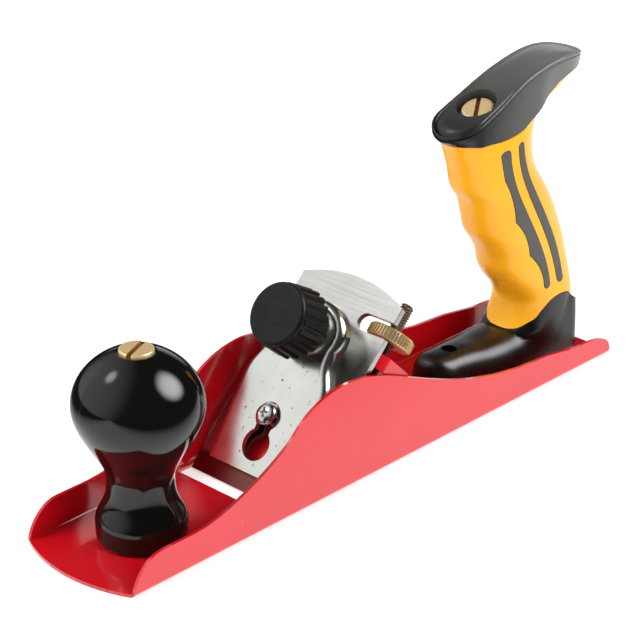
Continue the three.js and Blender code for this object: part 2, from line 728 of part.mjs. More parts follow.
const counterbore = brassHead + 2 * gap;
const knobNutLow = knobHeight + knobHeadStand - brassHeadHeight;

function knobProfile() {
  const [base, waist, ball] = [knobBase / 2, knobWaist / 2, knobBall / 2];
  const path = new THREE.Path();
  path.moveTo(0, seat);
  path.lineTo(base - 1.2, seat);
  path.bezierCurveTo(base - 0.3, seat, base, 1.2, base, knobBaseHeight);
  path.bezierCurveTo(base, knobBaseHeight + 4.8, waist, knobWaistHeight - 10.7, waist, knobWaistHeight);
  path.bezierCurveTo(waist, knobWaistHeight + 6.7, ball, knobBallHeight - 9.3, ball, knobBallHeight);
  path.bezierCurveTo(ball, knobBallHeight + 14.6, 5.1, knobHeight, 0, knobHeight);
  return path.getPoints(5).map((p) => [Math.max(p.x, 0), p.y]);
}

const frontKnob = cut(
  solid(turned(knobProfile(), 30)),
  cylinder(counterbore / 2, knobNutLow - gap, knobHeight + 2, 24),
  cylinder(brassBarrel / 2 + gap, knobNutLow - brassBarrelLength - gap, knobHeight + 2, 24),
  cylinder(rodHole / 2, -1, knobHeight, 24),
);
piece('front_knob', frontKnob, 'black', knob);
brassNut(knobNutLow, knobSlotTurn, 'front_knob_nut', knob);
steelRod(gap - bodySheet, knobNutLow - gap, 'front_knob_rod', knob);

// ---- Rear handle: a black foot, a yellow grip with grey inlays and a black top ----

const gripFront = through([
  [13.2, 37], [17.6, 38.5], [19.9, 41.5], [21.7, 47.4], [23.6, 51.2], [28.2, 50.4], [30, 48.8], [31.9, 45.4],
  [34.1, 40.6], [36.9, 38], [40.2, 36.4], [45.2, 35], [50.2, 32.2], [56.2, 27.5], [61.2, 26], [66.2, 24.6],
  [70.2, 23], [74.7, 19.6], [78.2, 18.2], [83.2, 17], [89.2, 14.6], [93.2, 12.8], [97.2, 10],
]);
const gripRear = through([
  [13.2, 76.6], [23.2, 76.4], [32.2, 74.8], [39.2, 73.4], [49.2, 70.6], [60.8, 66], [69.2, 60.8], [75.2, 56.7],
  [80.2, 54.3], [86.2, 53.5], [90.2, 53.9], [94.2, 55.1], [98.2, 57.6], [102.2, 63], [106.2, 72], [111.2, 79],
]);
const gripHalf = through([
  [13.2, 13], [23.2, 13], [44.2, 12.4], [69.2, 12], [87.2, 11.2], [98.2, 10.6], [111.2, 9.8],
]);
const gripSquareness = through([[13.2, 3.6], [29.2, 3.2], [59.2, 2.5], [111.2, 2.3]]);

const gripLow = 11; // its form runs on past both seams
const gripWaist = 41; // the finger notch is below this
const gripHigh = 111;

// The grip's outer form, drawn in by an inset; its sections are level.
function gripForm(inset) {
  const levels = [...stations(gripLow, gripWaist, 13), ...stations(gripWaist, gripHigh, 12).slice(1)];
  return loft(levels.map((z) => {
    const [front, rear] = [gripFront(z) + inset, gripRear(z) - inset];
    const [middle, long, half] = [(front + rear) / 2, (rear - front) / 2, gripHalf(z) - inset];
    return stations(0, 2 * Math.PI, 18).slice(0, -1).map((angle) => [
      middle + long * rounded(Math.cos(angle), gripSquareness(z)),
      half * rounded(Math.sin(angle), gripSquareness(z)),
      z,
    ]);
  }));
}

const topNose = 10.6; // length of its rounded front, and half its width there
const topHalf = through([[22, topNose], [50, 9.3]]);
const topFront = 8.6;
const topTip = 83;
const topTail = 57.4; // where the top starts to narrow
const topCrown = 1.2;
const skirtLow = 83; // the sides run down past the seam to here
// By how much they spread there, or draw in under the tail.
const skirtSpread = through([[22, 0.4], [50, 1.2], [61, -3], [70, -1], [83, 0]]);

function topWidth(x) {
  const nose = Math.max(0, (topFront + topNose - x) / topNose);
  const tail = Math.max(0, (x - topTail) / (topTip - topTail));
  return topHalf(x) * Math.sqrt(Math.max(0, 1 - nose ** 2)) * Math.sqrt(1 - tail ** 2);
}

// The black top: a domed face over a straight skirt, its sections square to the plane's length.
function topForm() {
  const [middle, reach] = [(topFront + topTip) / 2, (topTip - topFront) / 2];
  const sweep = stations(0, Math.PI, 19).map((a) => middle - reach * Math.cos(a));
  return loft(sweep.slice(1, -1).map((x) => {
    const half = topWidth(x);
    const rim = topRim(x);
    const dome = stations(-1, 1, 8).map((t) => [x, -t * half, rim + topCrown * (1 - t * t)]);
    const low = Math.max(half + skirtSpread(x), half / 2);
    return [[x, -low, skirtLow], [x, low, skirtLow], ...dome];
  }));
}

const footLength = 78.2;
const footNose = 10.4; // length of its rounded front
const footTail = 6.6; // length of its rounded rear
const footHalf = through([[10.4, 10.3], [38.4, 13], [66.4, 13]]);
const footRise = through([
  [0, 5.9], [1.4, 10.9], [4.4, 14.3], [9.4, 15.6], [27.4, 15.9], [32.4, 17.9], [37.4, 23.9], [43.4, 28.9],
]);

function footWidth(x) {
  const nose = Math.max(0, 1 - x / footNose);
  const tail = Math.max(0, 1 - (footLength - x) / footTail);
  return footHalf(x) * Math.sqrt(Math.max(0, 1 - nose ** 2)) * (1 - tail ** 2.4) ** (1 / 2.4);
}

// The black foot: a rounded ridge that widens to the heel.
function footForm() {
  const sweep = stations(0, Math.PI, 18).map((a) => (footLength / 2) * (1 - Math.cos(a)));
  return loft(sweep.slice(1, -1).map((x) => stations(0, 2 * Math.PI, 18).slice(0, -1).map((angle) => [
    x,
    footWidth(x) * rounded(Math.cos(angle), 2.8),
    seat + footRise(x) * rounded(Math.sin(angle), 2.8),
  ])));
}

// Seams in the side view: under the top, and over the foot.
const upperSeam = [
  [3.4, 97.4], [11.4, 95.6], [21.4, 94.9], [31.4, 94.3], [41.2, 95.2], [46.4, 97.3], [52.8, 100.7],
  [59, 104.6], [67.6, 107.9], [76, 109.4], [86, 110],
];
const lowerSeam = [
  [-6.6, 25.2], [23.4, 23.2], [31.9, 20.2], [37.4, 18], [43.4, 16.6], [48.4, 16.3], [51.4, 17.8], [54.4, 20.8],
  [58.4, 23.6], [63.4, 24.4], [68.4, 23.4], [72.4, 20.2], [77.4, 17.2],
];

function beyondSeam(points, side, offset) {
  const knots = points.map(([x, z]) => new THREE.Vector2(x, z + offset));
  const line = new THREE.SplineCurve(knots).getPoints(28);
  const far = side * 2 * bodyLength;
  const ends = [new THREE.Vector2(bodyLength, far), new THREE.Vector2(-bodyLength, far)];
  const shape = new THREE.Shape([...line, ...ends]);
  return alongY(shape, -bodyWidth, bodyWidth);
}

const handleBore = (radius, from, to) => cylinder(radius, from, to, 28).applyMatrix4(rodMatrix);
const throughBore = () => handleBore(rodHole / 2, -4, handleNutZ);
const barrelLow = handleNutZ - brassBarrelLength - gap;
const barrelBore = () => handleBore(brassBarrel / 2 + gap, barrelLow, handleNutZ + 1);

const handleTop = cut(
  keep(solid(topForm()), beyondSeam(upperSeam, 1, handleSplit / 2)),
  handleBore(recessDiameter / 2, handleNutZ - gap, handleNutZ + 4 * brassHeadHeight),
  throughBore(),
  barrelBore(),
);
piece('handle_top', handleTop, 'cap', handle);

// Inlays: two wavy stripes let into each side of the grip.
function wideStripe() {
  const shape = new THREE.Shape();
  shape.moveTo(28.6, 88.7);
  shape.lineTo(30.77, 78.7);
  shape.quadraticCurveTo(36.54, 69.2, 37.34, 60.8);
  shape.quadraticCurveTo(44.37, 53.7, 45.66, 45.1);
  shape.quadraticCurveTo(52.61, 38.7, 53.81, 30.8);
  shape.bezierCurveTo(54.2, 28.4, 56.9, 28.2, 57.21, 30.6);
  shape.bezierCurveTo(55.3, 44.2, 46.8, 56.2, 41.8, 65.7);
  shape.bezierCurveTo(36.9, 74.2, 34.2, 81.2, 33.9, 88.9);
  shape.bezierCurveTo(33.8, 90.8, 29, 90.8, 28.6, 88.7);
  return shape;
}

function slimStripe() {
  const shape = new THREE.Shape();
  shape.moveTo(38.2, 89.7);
  shape.bezierCurveTo(38, 71.2, 55.2, 57.2, 60.9, 31.4);
  shape.bezierCurveTo(61.4, 28.9, 64.6, 28.6, 64.9, 30.9);
  shape.bezierCurveTo(60.8, 57.2, 42.3, 71.2, 41.8, 89.9);
  shape.bezierCurveTo(41.6, 91.6, 38.6, 91.6, 38.2, 89.7);
  return shape;
}

// The stripe's outline drawn in by an inset, through the grip's side from the middle outwards.
function stripeBlock(shape, inset, side) {
  const block = new THREE.ExtrudeGeometry(shape, {
    depth: bodyWidth / 2 - 2 * inset, bevelThickness: inset, bevelSize: inset, bevelOffset: -2 * inset,
    bevelSegments: 1, curveSegments: 5,
  });
  return side < 0
    ? block.rotateX(Math.PI / 2)
    : block.rotateX(Math.PI / 2).translate(0, bodyWidth / 2, 0);
}

const stripes = [['wide', wideStripe], ['slim', slimStripe]];
const sides = [['near', -1], ['far', 1]];
const grooveTool = ([, draw], [, side]) => {
  const prism = side < 0 ? alongY(draw(), -bodyWidth / 2, 0, 5) : alongY(draw(), 0, bodyWidth / 2, 5);
  return solid(prism).subtract(solid(gripForm(inlayDepth + gap)));
};

const gripBlank = cut(
  keep(
    solid(gripForm(0)),
    beyondSeam(upperSeam, -1, -handleSplit / 2),
    beyondSeam(lowerSeam, 1, handleSplit / 2),
  ),
  throughBore(),
  barrelBore(),
);
const grooves = stripes.flatMap((stripe) => sides.map((side) => grooveTool(stripe, side)));
piece('handle_grip', grooves.reduce((whole, groove) => whole.subtract(groove), gripBlank), 'yellow', handle);

stripes.forEach(([name, draw]) => sides.forEach(([sideName, side]) => {
  const slab = solid(stripeBlock(draw(), gap / 2, side));
  const inlay = slab.intersect(solid(gripForm(-inlayStand))).subtract(solid(gripForm(inlayDepth)));
  piece(`grip_inlay_${name}_${sideName}`, inlay, 'grey', handle);
}));

const footScrewTop = 7; // the head's top, deep in its hole
const toeScrewSeat = footScrewTop - fulcrumHeadHeight;
const toeScrewShank = toeScrewDiameter / 2 - 0.9;
const handleFoot = cut(
  keep(
    solid(footForm()),
    beyondSeam(lowerSeam, -1, -handleSplit / 2),
    block(-1, footLength, -bodyWidth, bodyWidth, seat, bodyLength),
  ),
  throughBore(),
  cylinder(toeHole / 2, toeScrewSeat - gap, bodyWidth, 24).translate(toeScrewX, 0, 0),
  cylinder(toeScrewShank + gap, -1, bodyWidth, 20).translate(toeScrewX, 0, 0),
);
piece('handle_foot', handleFoot, 'black', handle);

brassNut(handleNutZ, handleSlotTurn, 'handle_nut', handleRod);
const rodLow = (gap - bodySheet) / Math.cos(handleTilt) + (rodDiameter / 2) * Math.tan(handleTilt);
steelRod(rodLow, handleNutZ - gap, 'handle_rod', handleRod);

const toeScrew = turned([
  [0, gap - bodySheet], [toeScrewShank, gap - bodySheet], [toeScrewShank, toeScrewSeat],
  [toeScrewDiameter / 2, toeScrewSeat], [toeScrewDiameter / 2, footScrewTop - 0.6],
  [toeScrewDiameter / 2 - 0.6, footScrewTop], [0, footScrewTop],
], 20);
piece('handle_toe_screw', solid(toeScrew), 'steel', handle).position.x = toeScrewX;

export default plane;
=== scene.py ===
# %% [markdown]
# # A hand plane, finished in Blender
# The real object is a small smoothing plane: a folded steel channel painted red, a blade on a
# sloping bed, a plated lever cap with a black clamp knob, a black ball knob at the toe and a
# yellow and black pistol grip at the heel. The exact model with its joints is already packed, so
# this script loads it as a frame that never moves and builds the finished surfaces on it.

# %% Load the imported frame
import bpy
import bmesh
from math import asin, atan2, copysign, cos, degrees, pi, radians, sin, sqrt, tan
from mathutils import Matrix, Vector
from mathutils.geometry import interpolate_bezier


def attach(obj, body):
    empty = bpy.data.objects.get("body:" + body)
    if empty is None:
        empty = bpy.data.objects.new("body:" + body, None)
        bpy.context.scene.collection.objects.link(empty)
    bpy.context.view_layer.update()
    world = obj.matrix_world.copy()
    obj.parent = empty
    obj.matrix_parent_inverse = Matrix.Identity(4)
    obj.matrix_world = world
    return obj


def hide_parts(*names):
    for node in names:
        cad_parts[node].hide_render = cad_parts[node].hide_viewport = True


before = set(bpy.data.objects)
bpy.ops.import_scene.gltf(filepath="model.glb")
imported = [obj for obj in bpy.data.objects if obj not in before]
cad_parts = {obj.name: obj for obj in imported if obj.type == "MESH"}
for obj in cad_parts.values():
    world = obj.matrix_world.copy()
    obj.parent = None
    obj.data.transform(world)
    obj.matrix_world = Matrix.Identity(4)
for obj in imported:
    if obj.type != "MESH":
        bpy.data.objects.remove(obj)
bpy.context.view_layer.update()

# %% [markdown]
# ## Places
# Every piece is drawn in millimetres on axes of its own, which keeps its numbers plain: the blade
# and the cap on the sloping bed, the handle on the nose of its foot, a screw on its axis. A matrix
# then takes its mesh to metres on the plane, so that each object stays at the origin.

# %% Axes of the pieces
MM = 0.001
SHEET = 1.2
BED_TILT, CAP_TILT = radians(45), radians(9.5)
SCREW_UP, CAP_UP, CLAMP_UP = 26.7, 6.6, 53.5
STUD_ACROSS, STUD_UNDER = -17.9, -9.3
ROD_FOOT, NUT_SEAT = (66.2, 0.0), (28.5, 102.31)
ROD_TILT = atan2(ROD_FOOT[0] - NUT_SEAT[0], NUT_SEAT[1])
ROD_NUT = NUT_SEAT[1] / cos(ROD_TILT)


def along(angle):
    """The direction at an angle above the length of the plane."""
    return Vector((cos(angle), 0, sin(angle)))


def on(parent, origin, x_axis=(1, 0, 0), z_axis=(0, 0, 1)):
    """Axes set on another piece's axes, their origin in that piece's millimetres."""
    x, z = Vector(x_axis).normalized(), Vector(z_axis).normalized()
    turn = Matrix((x, z.cross(x), z)).transposed().to_4x4()
    return parent @ Matrix.Translation(Vector(origin)) @ turn


def tilted(parent, origin, angle):
    """Axes whose X climbs at an angle and whose Z stands square to that slope."""
    return on(parent, origin, along(angle), along(angle + pi / 2))


SOLE = Matrix.Scale(MM, 4)
BED = tilted(SOLE, (-47, 0, 0.3), BED_TILT)
CAP = tilted(BED, (CAP_UP, 0, 0.3), CAP_TILT)
STUD = on(BED, (0, STUD_ACROSS, STUD_UNDER), (0, 0, 1), (1, 0, 0))
CLAMP = on(CAP, (CLAMP_UP, 0, 0))
CAP_SCREW = on(BED, (SCREW_UP, 0, 0))
KNOB = on(SOLE, (-91.5, 0, SHEET))
HANDLE = on(SOLE, (46.6, 0, SHEET))
ROD = tilted(HANDLE, (ROD_FOOT[0], 0, 0), ROD_TILT)
print("the cap's clamp stands at", [round(v / MM, 1) for v in CLAMP.translation], "mm")

# %% [markdown]
# ## Camera
# The plane is seen from the toe's left, a little above, through a long lens from almost a metre
# away, which keeps its long edges nearly parallel. A small shift sets it in the middle.

# %% Camera
CAMERA_AZIMUTH, CAMERA_ELEVATION = radians(46.31), radians(25.27)
camera = bpy.data.objects.new("camera", bpy.data.cameras.new("camera"))
bpy.context.scene.collection.objects.link(camera)
camera.location = (-0.5873, -0.5533, 0.4341)
looking = Vector((sin(CAMERA_AZIMUTH) * cos(CAMERA_ELEVATION),
                  cos(CAMERA_AZIMUTH) * cos(CAMERA_ELEVATION), -sin(CAMERA_ELEVATION)))
camera.rotation_euler = looking.to_track_quat("-Z", "Y").to_euler()
camera.data.sensor_width, camera.data.lens, camera.data.clip_end = 36, 145.64, 20
camera.data.shift_x, camera.data.shift_y = 0.0047, -0.02
bpy.context.scene.camera = camera
print("camera", [round(v, 3) for v in camera.location], "lens", camera.data.lens)

# %% [markdown]
# ## Wiring
# The world, the floor and every finish are node trees. One helper makes a node and wires its
# inputs, and a few more cover the nodes that come up again and again.


# %% Helpers for node trees
WHITE = (1, 1, 1, 1)


def emptied(owner):
    """The node tree of a world or a material, with nothing in it."""
    owner.use_nodes = True
    owner.node_tree.nodes.clear()
    return owner.node_tree


def wire(tree, kind, inputs=None, **settings):
    """A new node with its settings and inputs; an input takes a value or another node's socket."""
    node = tree.nodes.new(kind)
    for name, value in settings.items():
        setattr(node, name, value)
    for name, value in (inputs or {}).items():
        socket = node.inputs[name]
        if isinstance(value, bpy.types.NodeSocket):
            tree.links.new(value, socket)
        else:
            socket.default_value = value
    return node


def reckon(tree, operation, *values):
    return wire(tree, "ShaderNodeMath", dict(enumerate(values)), operation=operation).outputs[0]


def measure(tree, operation, *vectors):
    """A dot product or a length as a value, or else a vector."""
    node = wire(tree, "ShaderNodeVectorMath", dict(enumerate(vectors)), operation=operation)
    return node.outputs["Value" if operation in ("DOT_PRODUCT", "LENGTH") else 0]


def ramp(tree, value, start, end, low=0.0, high=1.0, smooth=True):
    """Low up to the start, high beyond the end, and eased or straight between them."""
    return wire(tree, "ShaderNodeMapRange",
                {"Value": value, "From Min": start, "From Max": end, "To Min": low, "To Max": high},
                interpolation_type="SMOOTHSTEP" if smooth else "LINEAR").outputs["Result"]


def noise(tree, place, scale, detail, roughness=0.5):
    return wire(tree, "ShaderNodeTexNoise", {"Vector": place, "Scale": scale, "Detail": detail,
                                             "Roughness": roughness}).outputs["Fac"]


def place_on(tree):
    return wire(tree, "ShaderNodeTexCoord").outputs["Object"]


def axis_of(tree, place, axis):
    return wire(tree, "ShaderNodeSeparateXYZ", {0: place}).outputs[axis]


def shining(tree, kind, strength):
    return wire(tree, kind, {"Color": WHITE, "Strength": strength}).outputs[0]


def added(tree, shader, other):
    return wire(tree, "ShaderNodeAddShader", {0: shader, 1: other}).outputs[0]


def either(tree, mask, without, within):
    """One shader or another, by a mask."""
    return wire(tree, "ShaderNodeMixShader", {0: mask, 1: without, 2: within}).outputs[0]


# %% [markdown]
# ## Light, floor and background
# The plane lies on a white sheet in a light tent: two softboxes high on either side of the camera,
# light from all around, and bright patches for the paint and the plating to mirror. The lamps
# stay at a level where a colour renders about as written, so the white behind comes from what
# camera rays see, and not from more light.

# %% Softboxes and world
scene = bpy.context.scene
scene.view_settings.view_transform = "Standard"
# A softbox: its name, the way to it, its size in metres and its power. Mirrors don't see it.
SOFTBOXES = (("softbox_left", (-0.56, 0.45, 0.7), 0.55, 7),
             ("softbox_right", (0.2, -0.78, 0.6), 0.8, 7))
SOFTBOX_AWAY = 1.1
# A patch that mirrors see: the way to it, the angles where it ends and where it is full, and how
# bright it is. They are the sheet at the back, the two glints, the rear sheet and a faint rest.
PATCHES = (((-0.6, 0.68, 0.42), 70, 14, 0.88), ((-0.311, 0.509, 0.803), 10, 1, 5.0),
           ((0.529, -0.522, 0.669), 26, 2, 10.0), ((0.76, 0.65, 0), 25, 4, 1.0),
           ((0, 0, 1), 180, 0, 0.03))
SOFT_LIGHT = 0.55

for name, toward, size, power in SOFTBOXES:
    lamp = bpy.data.objects.new(name, bpy.data.lights.new(name, "AREA"))
    lamp.data.shape, lamp.data.size, lamp.data.energy = "SQUARE", size, power
    lamp.location = Vector(toward).normalized() * SOFTBOX_AWAY
    lamp.rotation_euler = (-lamp.location).to_track_quat("-Z", "Y").to_euler()
    lamp.visible_glossy = False
    scene.collection.objects.link(lamp)

world = scene.world or bpy.data.worlds.new("tent")
scene.world = world
tree = emptied(world)
path = wire(tree, "ShaderNodeLightPath").outputs
direction = wire(tree, "ShaderNodeTexCoord").outputs["Generated"]
mirrored = 0.0
for toward, wide, narrow, bright in PATCHES:
    facing = measure(tree, "DOT_PRODUCT", direction, Vector(toward).normalized())
    patch = ramp(tree, facing, cos(radians(wide)), cos(radians(narrow)), high=bright)
    mirrored = reckon(tree, "ADD", mirrored, patch)
lit = either(tree, path["Is Glossy Ray"], shining(tree, "ShaderNodeBackground", SOFT_LIGHT),
             shining(tree, "ShaderNodeBackground", mirrored))
seen = reckon(tree, "MAXIMUM", path["Is Camera Ray"], path["Is Transmission Ray"])
shown = either(tree, seen, lit, shining(tree, "ShaderNodeBackground", 1.0))
wire(tree, "ShaderNodeOutputWorld", {"Surface": shown})

# %% [markdown]
# The floor is paper with a hair of fibre in it. The camera sees it lifted to white, and more so
# far away, where the softboxes no longer reach. Mirrors see it bright near the plane, as a lit
# table is, and all other rays take its glow as light from below.

# %% Floor
FLOOR_HALF, FLOOR_DROP, TABLE_LIGHT = 4, 0.0002, 0.8
bm = bmesh.new()
bmesh.ops.create_grid(bm, x_segments=1, y_segments=1, size=FLOOR_HALF)
floor_mesh = bpy.data.meshes.new("floor")
bm.to_mesh(floor_mesh)
bm.free()
floor = bpy.data.objects.new("floor", floor_mesh)
scene.collection.objects.link(floor)
floor.location.z = -FLOOR_DROP

paper = bpy.data.materials.new("white_paper")
tree = emptied(paper)
path = wire(tree, "ShaderNodeLightPath").outputs
place = place_on(tree)
tone = ramp(tree, noise(tree, place, 900.0, 3.0), 0, 1, 0.83, 0.87, smooth=False)
matt = wire(tree, "ShaderNodeBsdfDiffuse", {"Color": tone}).outputs[0]
lift = ramp(tree, measure(tree, "LENGTH", place), 0.3, 1.2, 0.44, 1.2, smooth=False)
aside = reckon(tree, "ABSOLUTE", axis_of(tree, place, "Y"))
glow = shining(tree, "ShaderNodeEmission", ramp(tree, aside, 0.2, 0.04, 0.02, 1.35))
lifted, table = (added(tree, matt, shining(tree, "ShaderNodeEmission", extra))
                 for extra in (lift, TABLE_LIGHT))
bounced = either(tree, path["Is Glossy Ray"], table, glow)
paper_seen = either(tree, path["Is Camera Ray"], bounced, lifted)
wire(tree, "ShaderNodeOutputMaterial", {"Surface": paper_seen})
floor_mesh.materials.append(paper)
print("floor:", 2 * FLOOR_HALF, "m wide,", len(tree.nodes), "nodes in its paper")

# %% [markdown]
# ## Shared effects
# Three effects turn up in more than one finish: a speckle of small dots for dust and pits, a
# grain that can be stretched one way for ground metal, and a slow mottle that varies the polish.
# Each is a node group, built once and placed with each finish's own values. The groups put out
# only values, and the shaders stay in the materials.


# %% Speckle, grain and mottle
def effect(name, sockets):
    """A node group with float or vector inputs and one output, Value; and its inputs."""
    group = bpy.data.node_groups.new(name, "ShaderNodeTree")
    for socket, value in sockets.items():
        kind = "NodeSocketVector" if isinstance(value, tuple) else "NodeSocketFloat"
        group.interface.new_socket(socket, in_out="INPUT", socket_type=kind).default_value = value
    group.interface.new_socket("Value", in_out="OUTPUT", socket_type="NodeSocketFloat")
    return group, wire(group, "NodeGroupInput").outputs


speckle, given = effect("speckle", {"Scale": 400.0, "Amount": 0.1, "Softness": 0.02})
spot = noise(speckle, place_on(speckle), given["Scale"], 2.0, 0.6)
edge = reckon(speckle, "SUBTRACT", 0.85, given["Amount"])
dots = ramp(speckle, spot, edge, reckon(speckle, "ADD", edge, given["Softness"]))
wire(speckle, "NodeGroupOutput", {"Value": dots})

grain, given = effect("grain", {"Stretch": (1.0, 1.0, 1.0), "Scale": 1000.0})
stretched = measure(grain, "MULTIPLY", place_on(grain), given["Stretch"])
wire(grain, "NodeGroupOutput", {"Value": noise(grain, stretched, given["Scale"], 4.0, 0.65)})

mottle, given = effect("mottle", {"Scale": 60.0, "Low": 0.2, "High": 0.3})
cloud = noise(mottle, place_on(mottle), given["Scale"], 5.0, 0.6)
level = ramp(mottle, cloud, 0.3, 0.7, given["Low"], given["High"], smooth=False)
wire(mottle, "NodeGroupOutput", {"Value": level})
print("effects:", [group.name for group in bpy.data.node_groups])

# %% [markdown]
# ## Finishes
# Each finish is one Principled shader with its own mix of those effects. These helpers make the
# shader and lay colour, stains and relief on it, so each finish below reads as a short recipe.


# %% Helpers for finishes
def place_effect(tree, group, **inputs):
    """One of the shared effects with this finish's own values; it gives the effect's output."""
    node = wire(tree, "ShaderNodeGroup", node_tree=group)
    for name, value in inputs.items():
        node.inputs[name].default_value = value
    return node.outputs["Value"]


def mottled(tree, scale, low=0.0, high=1.0):
    return place_effect(tree, mottle, Scale=scale, Low=low, High=high)


def speckled(tree, scale, amount, softness):
    return place_effect(tree, speckle, Scale=scale, Amount=amount, Softness=softness)


def finish_material(name, color, **sockets):
    """A material with one Principled shader; it gives the material, its tree and the shader."""
    material = bpy.data.materials.new(name)
    tree = emptied(material)
    shader = wire(tree, "ShaderNodeBsdfPrincipled", {"Base Color": (*color, 1)})
    wire(tree, "ShaderNodeOutputMaterial", {"Surface": shader.outputs[0]})
    for socket, value in sockets.items():
        shader.inputs[socket.replace("_", " ")].default_value = value
    return material, tree, shader


def reopened(material):
    """The tree and the shader of a finish that is already made."""
    nodes = material.node_tree.nodes
    return material.node_tree, next(node for node in nodes if node.type == "BSDF_PRINCIPLED")


def feed(shader, socket, value):
    shader.id_data.links.new(value, shader.inputs[socket])


def tint(shader, mask, below, above):
    """The finish's colour goes from below to above where the mask goes from 0 to 1."""
    node = wire(shader.id_data, "ShaderNodeMix", data_type="RGBA")
    for socket, value in ((0, mask), (6, below), (7, above)):
        if isinstance(value, bpy.types.NodeSocket):
            shader.id_data.links.new(value, node.inputs[socket])
        else:
            node.inputs[socket].default_value = (*value, 1)
    feed(shader, "Base Color", node.outputs[2])


def stain(shader, mask, color):
    """Lays one more colour over what the finish already has, where the mask is 1."""
    tint(shader, mask, shader.inputs["Base Color"].links[0].from_socket, color)


def add_bump(shader, height, depth):
    """A fine relief, its depth in millimetres; reliefs placed one after another add up."""
    bump = wire(shader.id_data, "ShaderNodeBump", {"Height": height, "Distance": depth * MM})
    for earlier in [link.from_socket for link in shader.inputs["Normal"].links]:
        feed(bump, "Normal", earlier)
    feed(shader, "Normal", bump.outputs[0])


# %% [markdown]
# ### Red powder coat
# The body and the frog are sprayed and baked: a deep red gloss with a faint orange-peel ripple,
# a few dust nibs under the paint, and small chips along the toe's edge where it is thinnest. A
# coat layer gives the strong mirror of the white sheet on the upright walls.

# %% Red powder coat
TOE_RADIUS, TOE_X, CHIPPED_BEYOND = 57.2, 125, -0.1
red_paint, tree, shader = finish_material("red_powder_coat", (0.56, 0.005, 0.012), IOR=1.5,
                                          Coat_Weight=0.6, Coat_Roughness=0.06)
place = place_on(tree)
from_arc = measure(tree, "SUBTRACT", place, ((TOE_RADIUS - TOE_X) * MM, 0, 0))
reach = measure(tree, "LENGTH", measure(tree, "MULTIPLY", from_arc, (1, 1, 0)))
near_edge = ramp(tree, reach, (TOE_RADIUS - 0.9) * MM, (TOE_RADIUS + 0.1) * MM, smooth=False)
ragged = reckon(tree, "MULTIPLY", near_edge, noise(tree, place, 420.0, 4.0))
toe_side = reckon(tree, "LESS_THAN", axis_of(tree, place, "X"), CHIPPED_BEYOND)
chips = reckon(tree, "MULTIPLY", ramp(tree, ragged, 0.5, 0.56, smooth=False), toe_side)
nibs = speckled(tree, 700.0, 0.09, 0.02)
tint(shader, mottled(tree, 25.0), (0.54, 0.004, 0.01), (0.6, 0.006, 0.014))
stain(shader, nibs, (0.68, 0.08, 0.08))
stain(shader, chips, (0.16, 0.05, 0.04))
feed(shader, "Roughness", mottled(tree, 40.0, 0.12, 0.2))
add_bump(shader, mottled(tree, 260.0), 0.012)
add_bump(shader, nibs, 0.03)
print("red coat:", len(tree.nodes), "nodes")

# %% [markdown]
# ### Black mouldings
# The front knob and the black parts of the handle are pressed from a hard gloss plastic. What
# shows is mostly what they mirror, so the colour is near black, the polish varies a little, and a
# hair-thin ridge runs where the halves of the mould met. The clamp knob has a satin skin. The
# handle's top carries a painted sheen: its colour turns greyer from the nose to the tail, standing
# in for the soft highlight on its dome.


# %% Black mouldings
def black_plastic(name, low, high, seam_normal=None, seam_origin=(0, 0, 0), specular=0.5):
    """Black plastic; a seam is a fine ridge in the plane square to its normal at the origin."""
    material, tree, shader = finish_material(name, (0.004, 0.004, 0.004), IOR=1.5,
                                             Specular_IOR_Level=specular)
    tint(shader, speckled(tree, 1500.0, 0.12, 0.02), (0.0035, 0.0035, 0.0033), (0.03, 0.03, 0.028))
    feed(shader, "Roughness", mottled(tree, 90.0, low, high))
    if seam_normal:
        shifted = measure(tree, "SUBTRACT", place_on(tree), Vector(seam_origin) * MM)
        across = measure(tree, "DOT_PRODUCT", shifted, Vector(seam_normal).normalized())
        add_bump(shader, ramp(tree, reckon(tree, "ABSOLUTE", across), 0.22 * MM, 0.05 * MM), 0.06)
    add_bump(shader, mottled(tree, 300.0), 0.004)
    return material


knob_black = black_plastic("front_knob_black", 0.05, 0.12, (0.19, 0.98, 0), (-91.5, 0, 0))
foot_black = black_plastic("handle_foot_black", 0.24, 0.36, (0, 1, 0), (0, 2.2, 0))
clamp_black = black_plastic("clamp_knob_black", 0.34, 0.46, specular=0.3)
top_black = black_plastic("handle_top_black", 0.24, 0.36)
NOSE_PLACE, TAIL_PLACE = 58 * MM, 128 * MM
tree, shader = reopened(top_black)
# Painted highlight: the top's colour greys from the nose to the tail, standing in for the sheen on
# its dome.
painted_sheen = ramp(tree, axis_of(tree, place_on(tree), "X"), NOSE_PLACE, TAIL_PLACE, smooth=False)
stain(shader, painted_sheen, (0.19, 0.19, 0.185))
print("black finishes:", [m.name for m in (knob_black, foot_black, clamp_black, top_black)])

# %% [markdown]
# ### Yellow grip and grey inlays
# The grip is a warm yellow plastic that shines softly, with a few brown specks burnt into it. It
# lets a little light in, which keeps its shaded scallops orange instead of grey. The inlays are a
# softer grey plastic with a fine matt grain.

# %% Yellow grip and grey inlays
yellow_plastic, tree, shader = finish_material(
    "yellow_grip", (0.85, 0.4, 0.03), IOR=1.42, Subsurface_Weight=0.06,
    Subsurface_Radius=(1.0, 0.35, 0.05), Subsurface_Scale=0.0015)
tint(shader, mottled(tree, 18.0), (0.84, 0.37, 0.009), (0.89, 0.42, 0.014))
stain(shader, speckled(tree, 330.0, 0.085, 0.015), (0.22, 0.06, 0.01))
feed(shader, "Roughness", mottled(tree, 70.0, 0.24, 0.34))
add_bump(shader, mottled(tree, 150.0), 0.015)

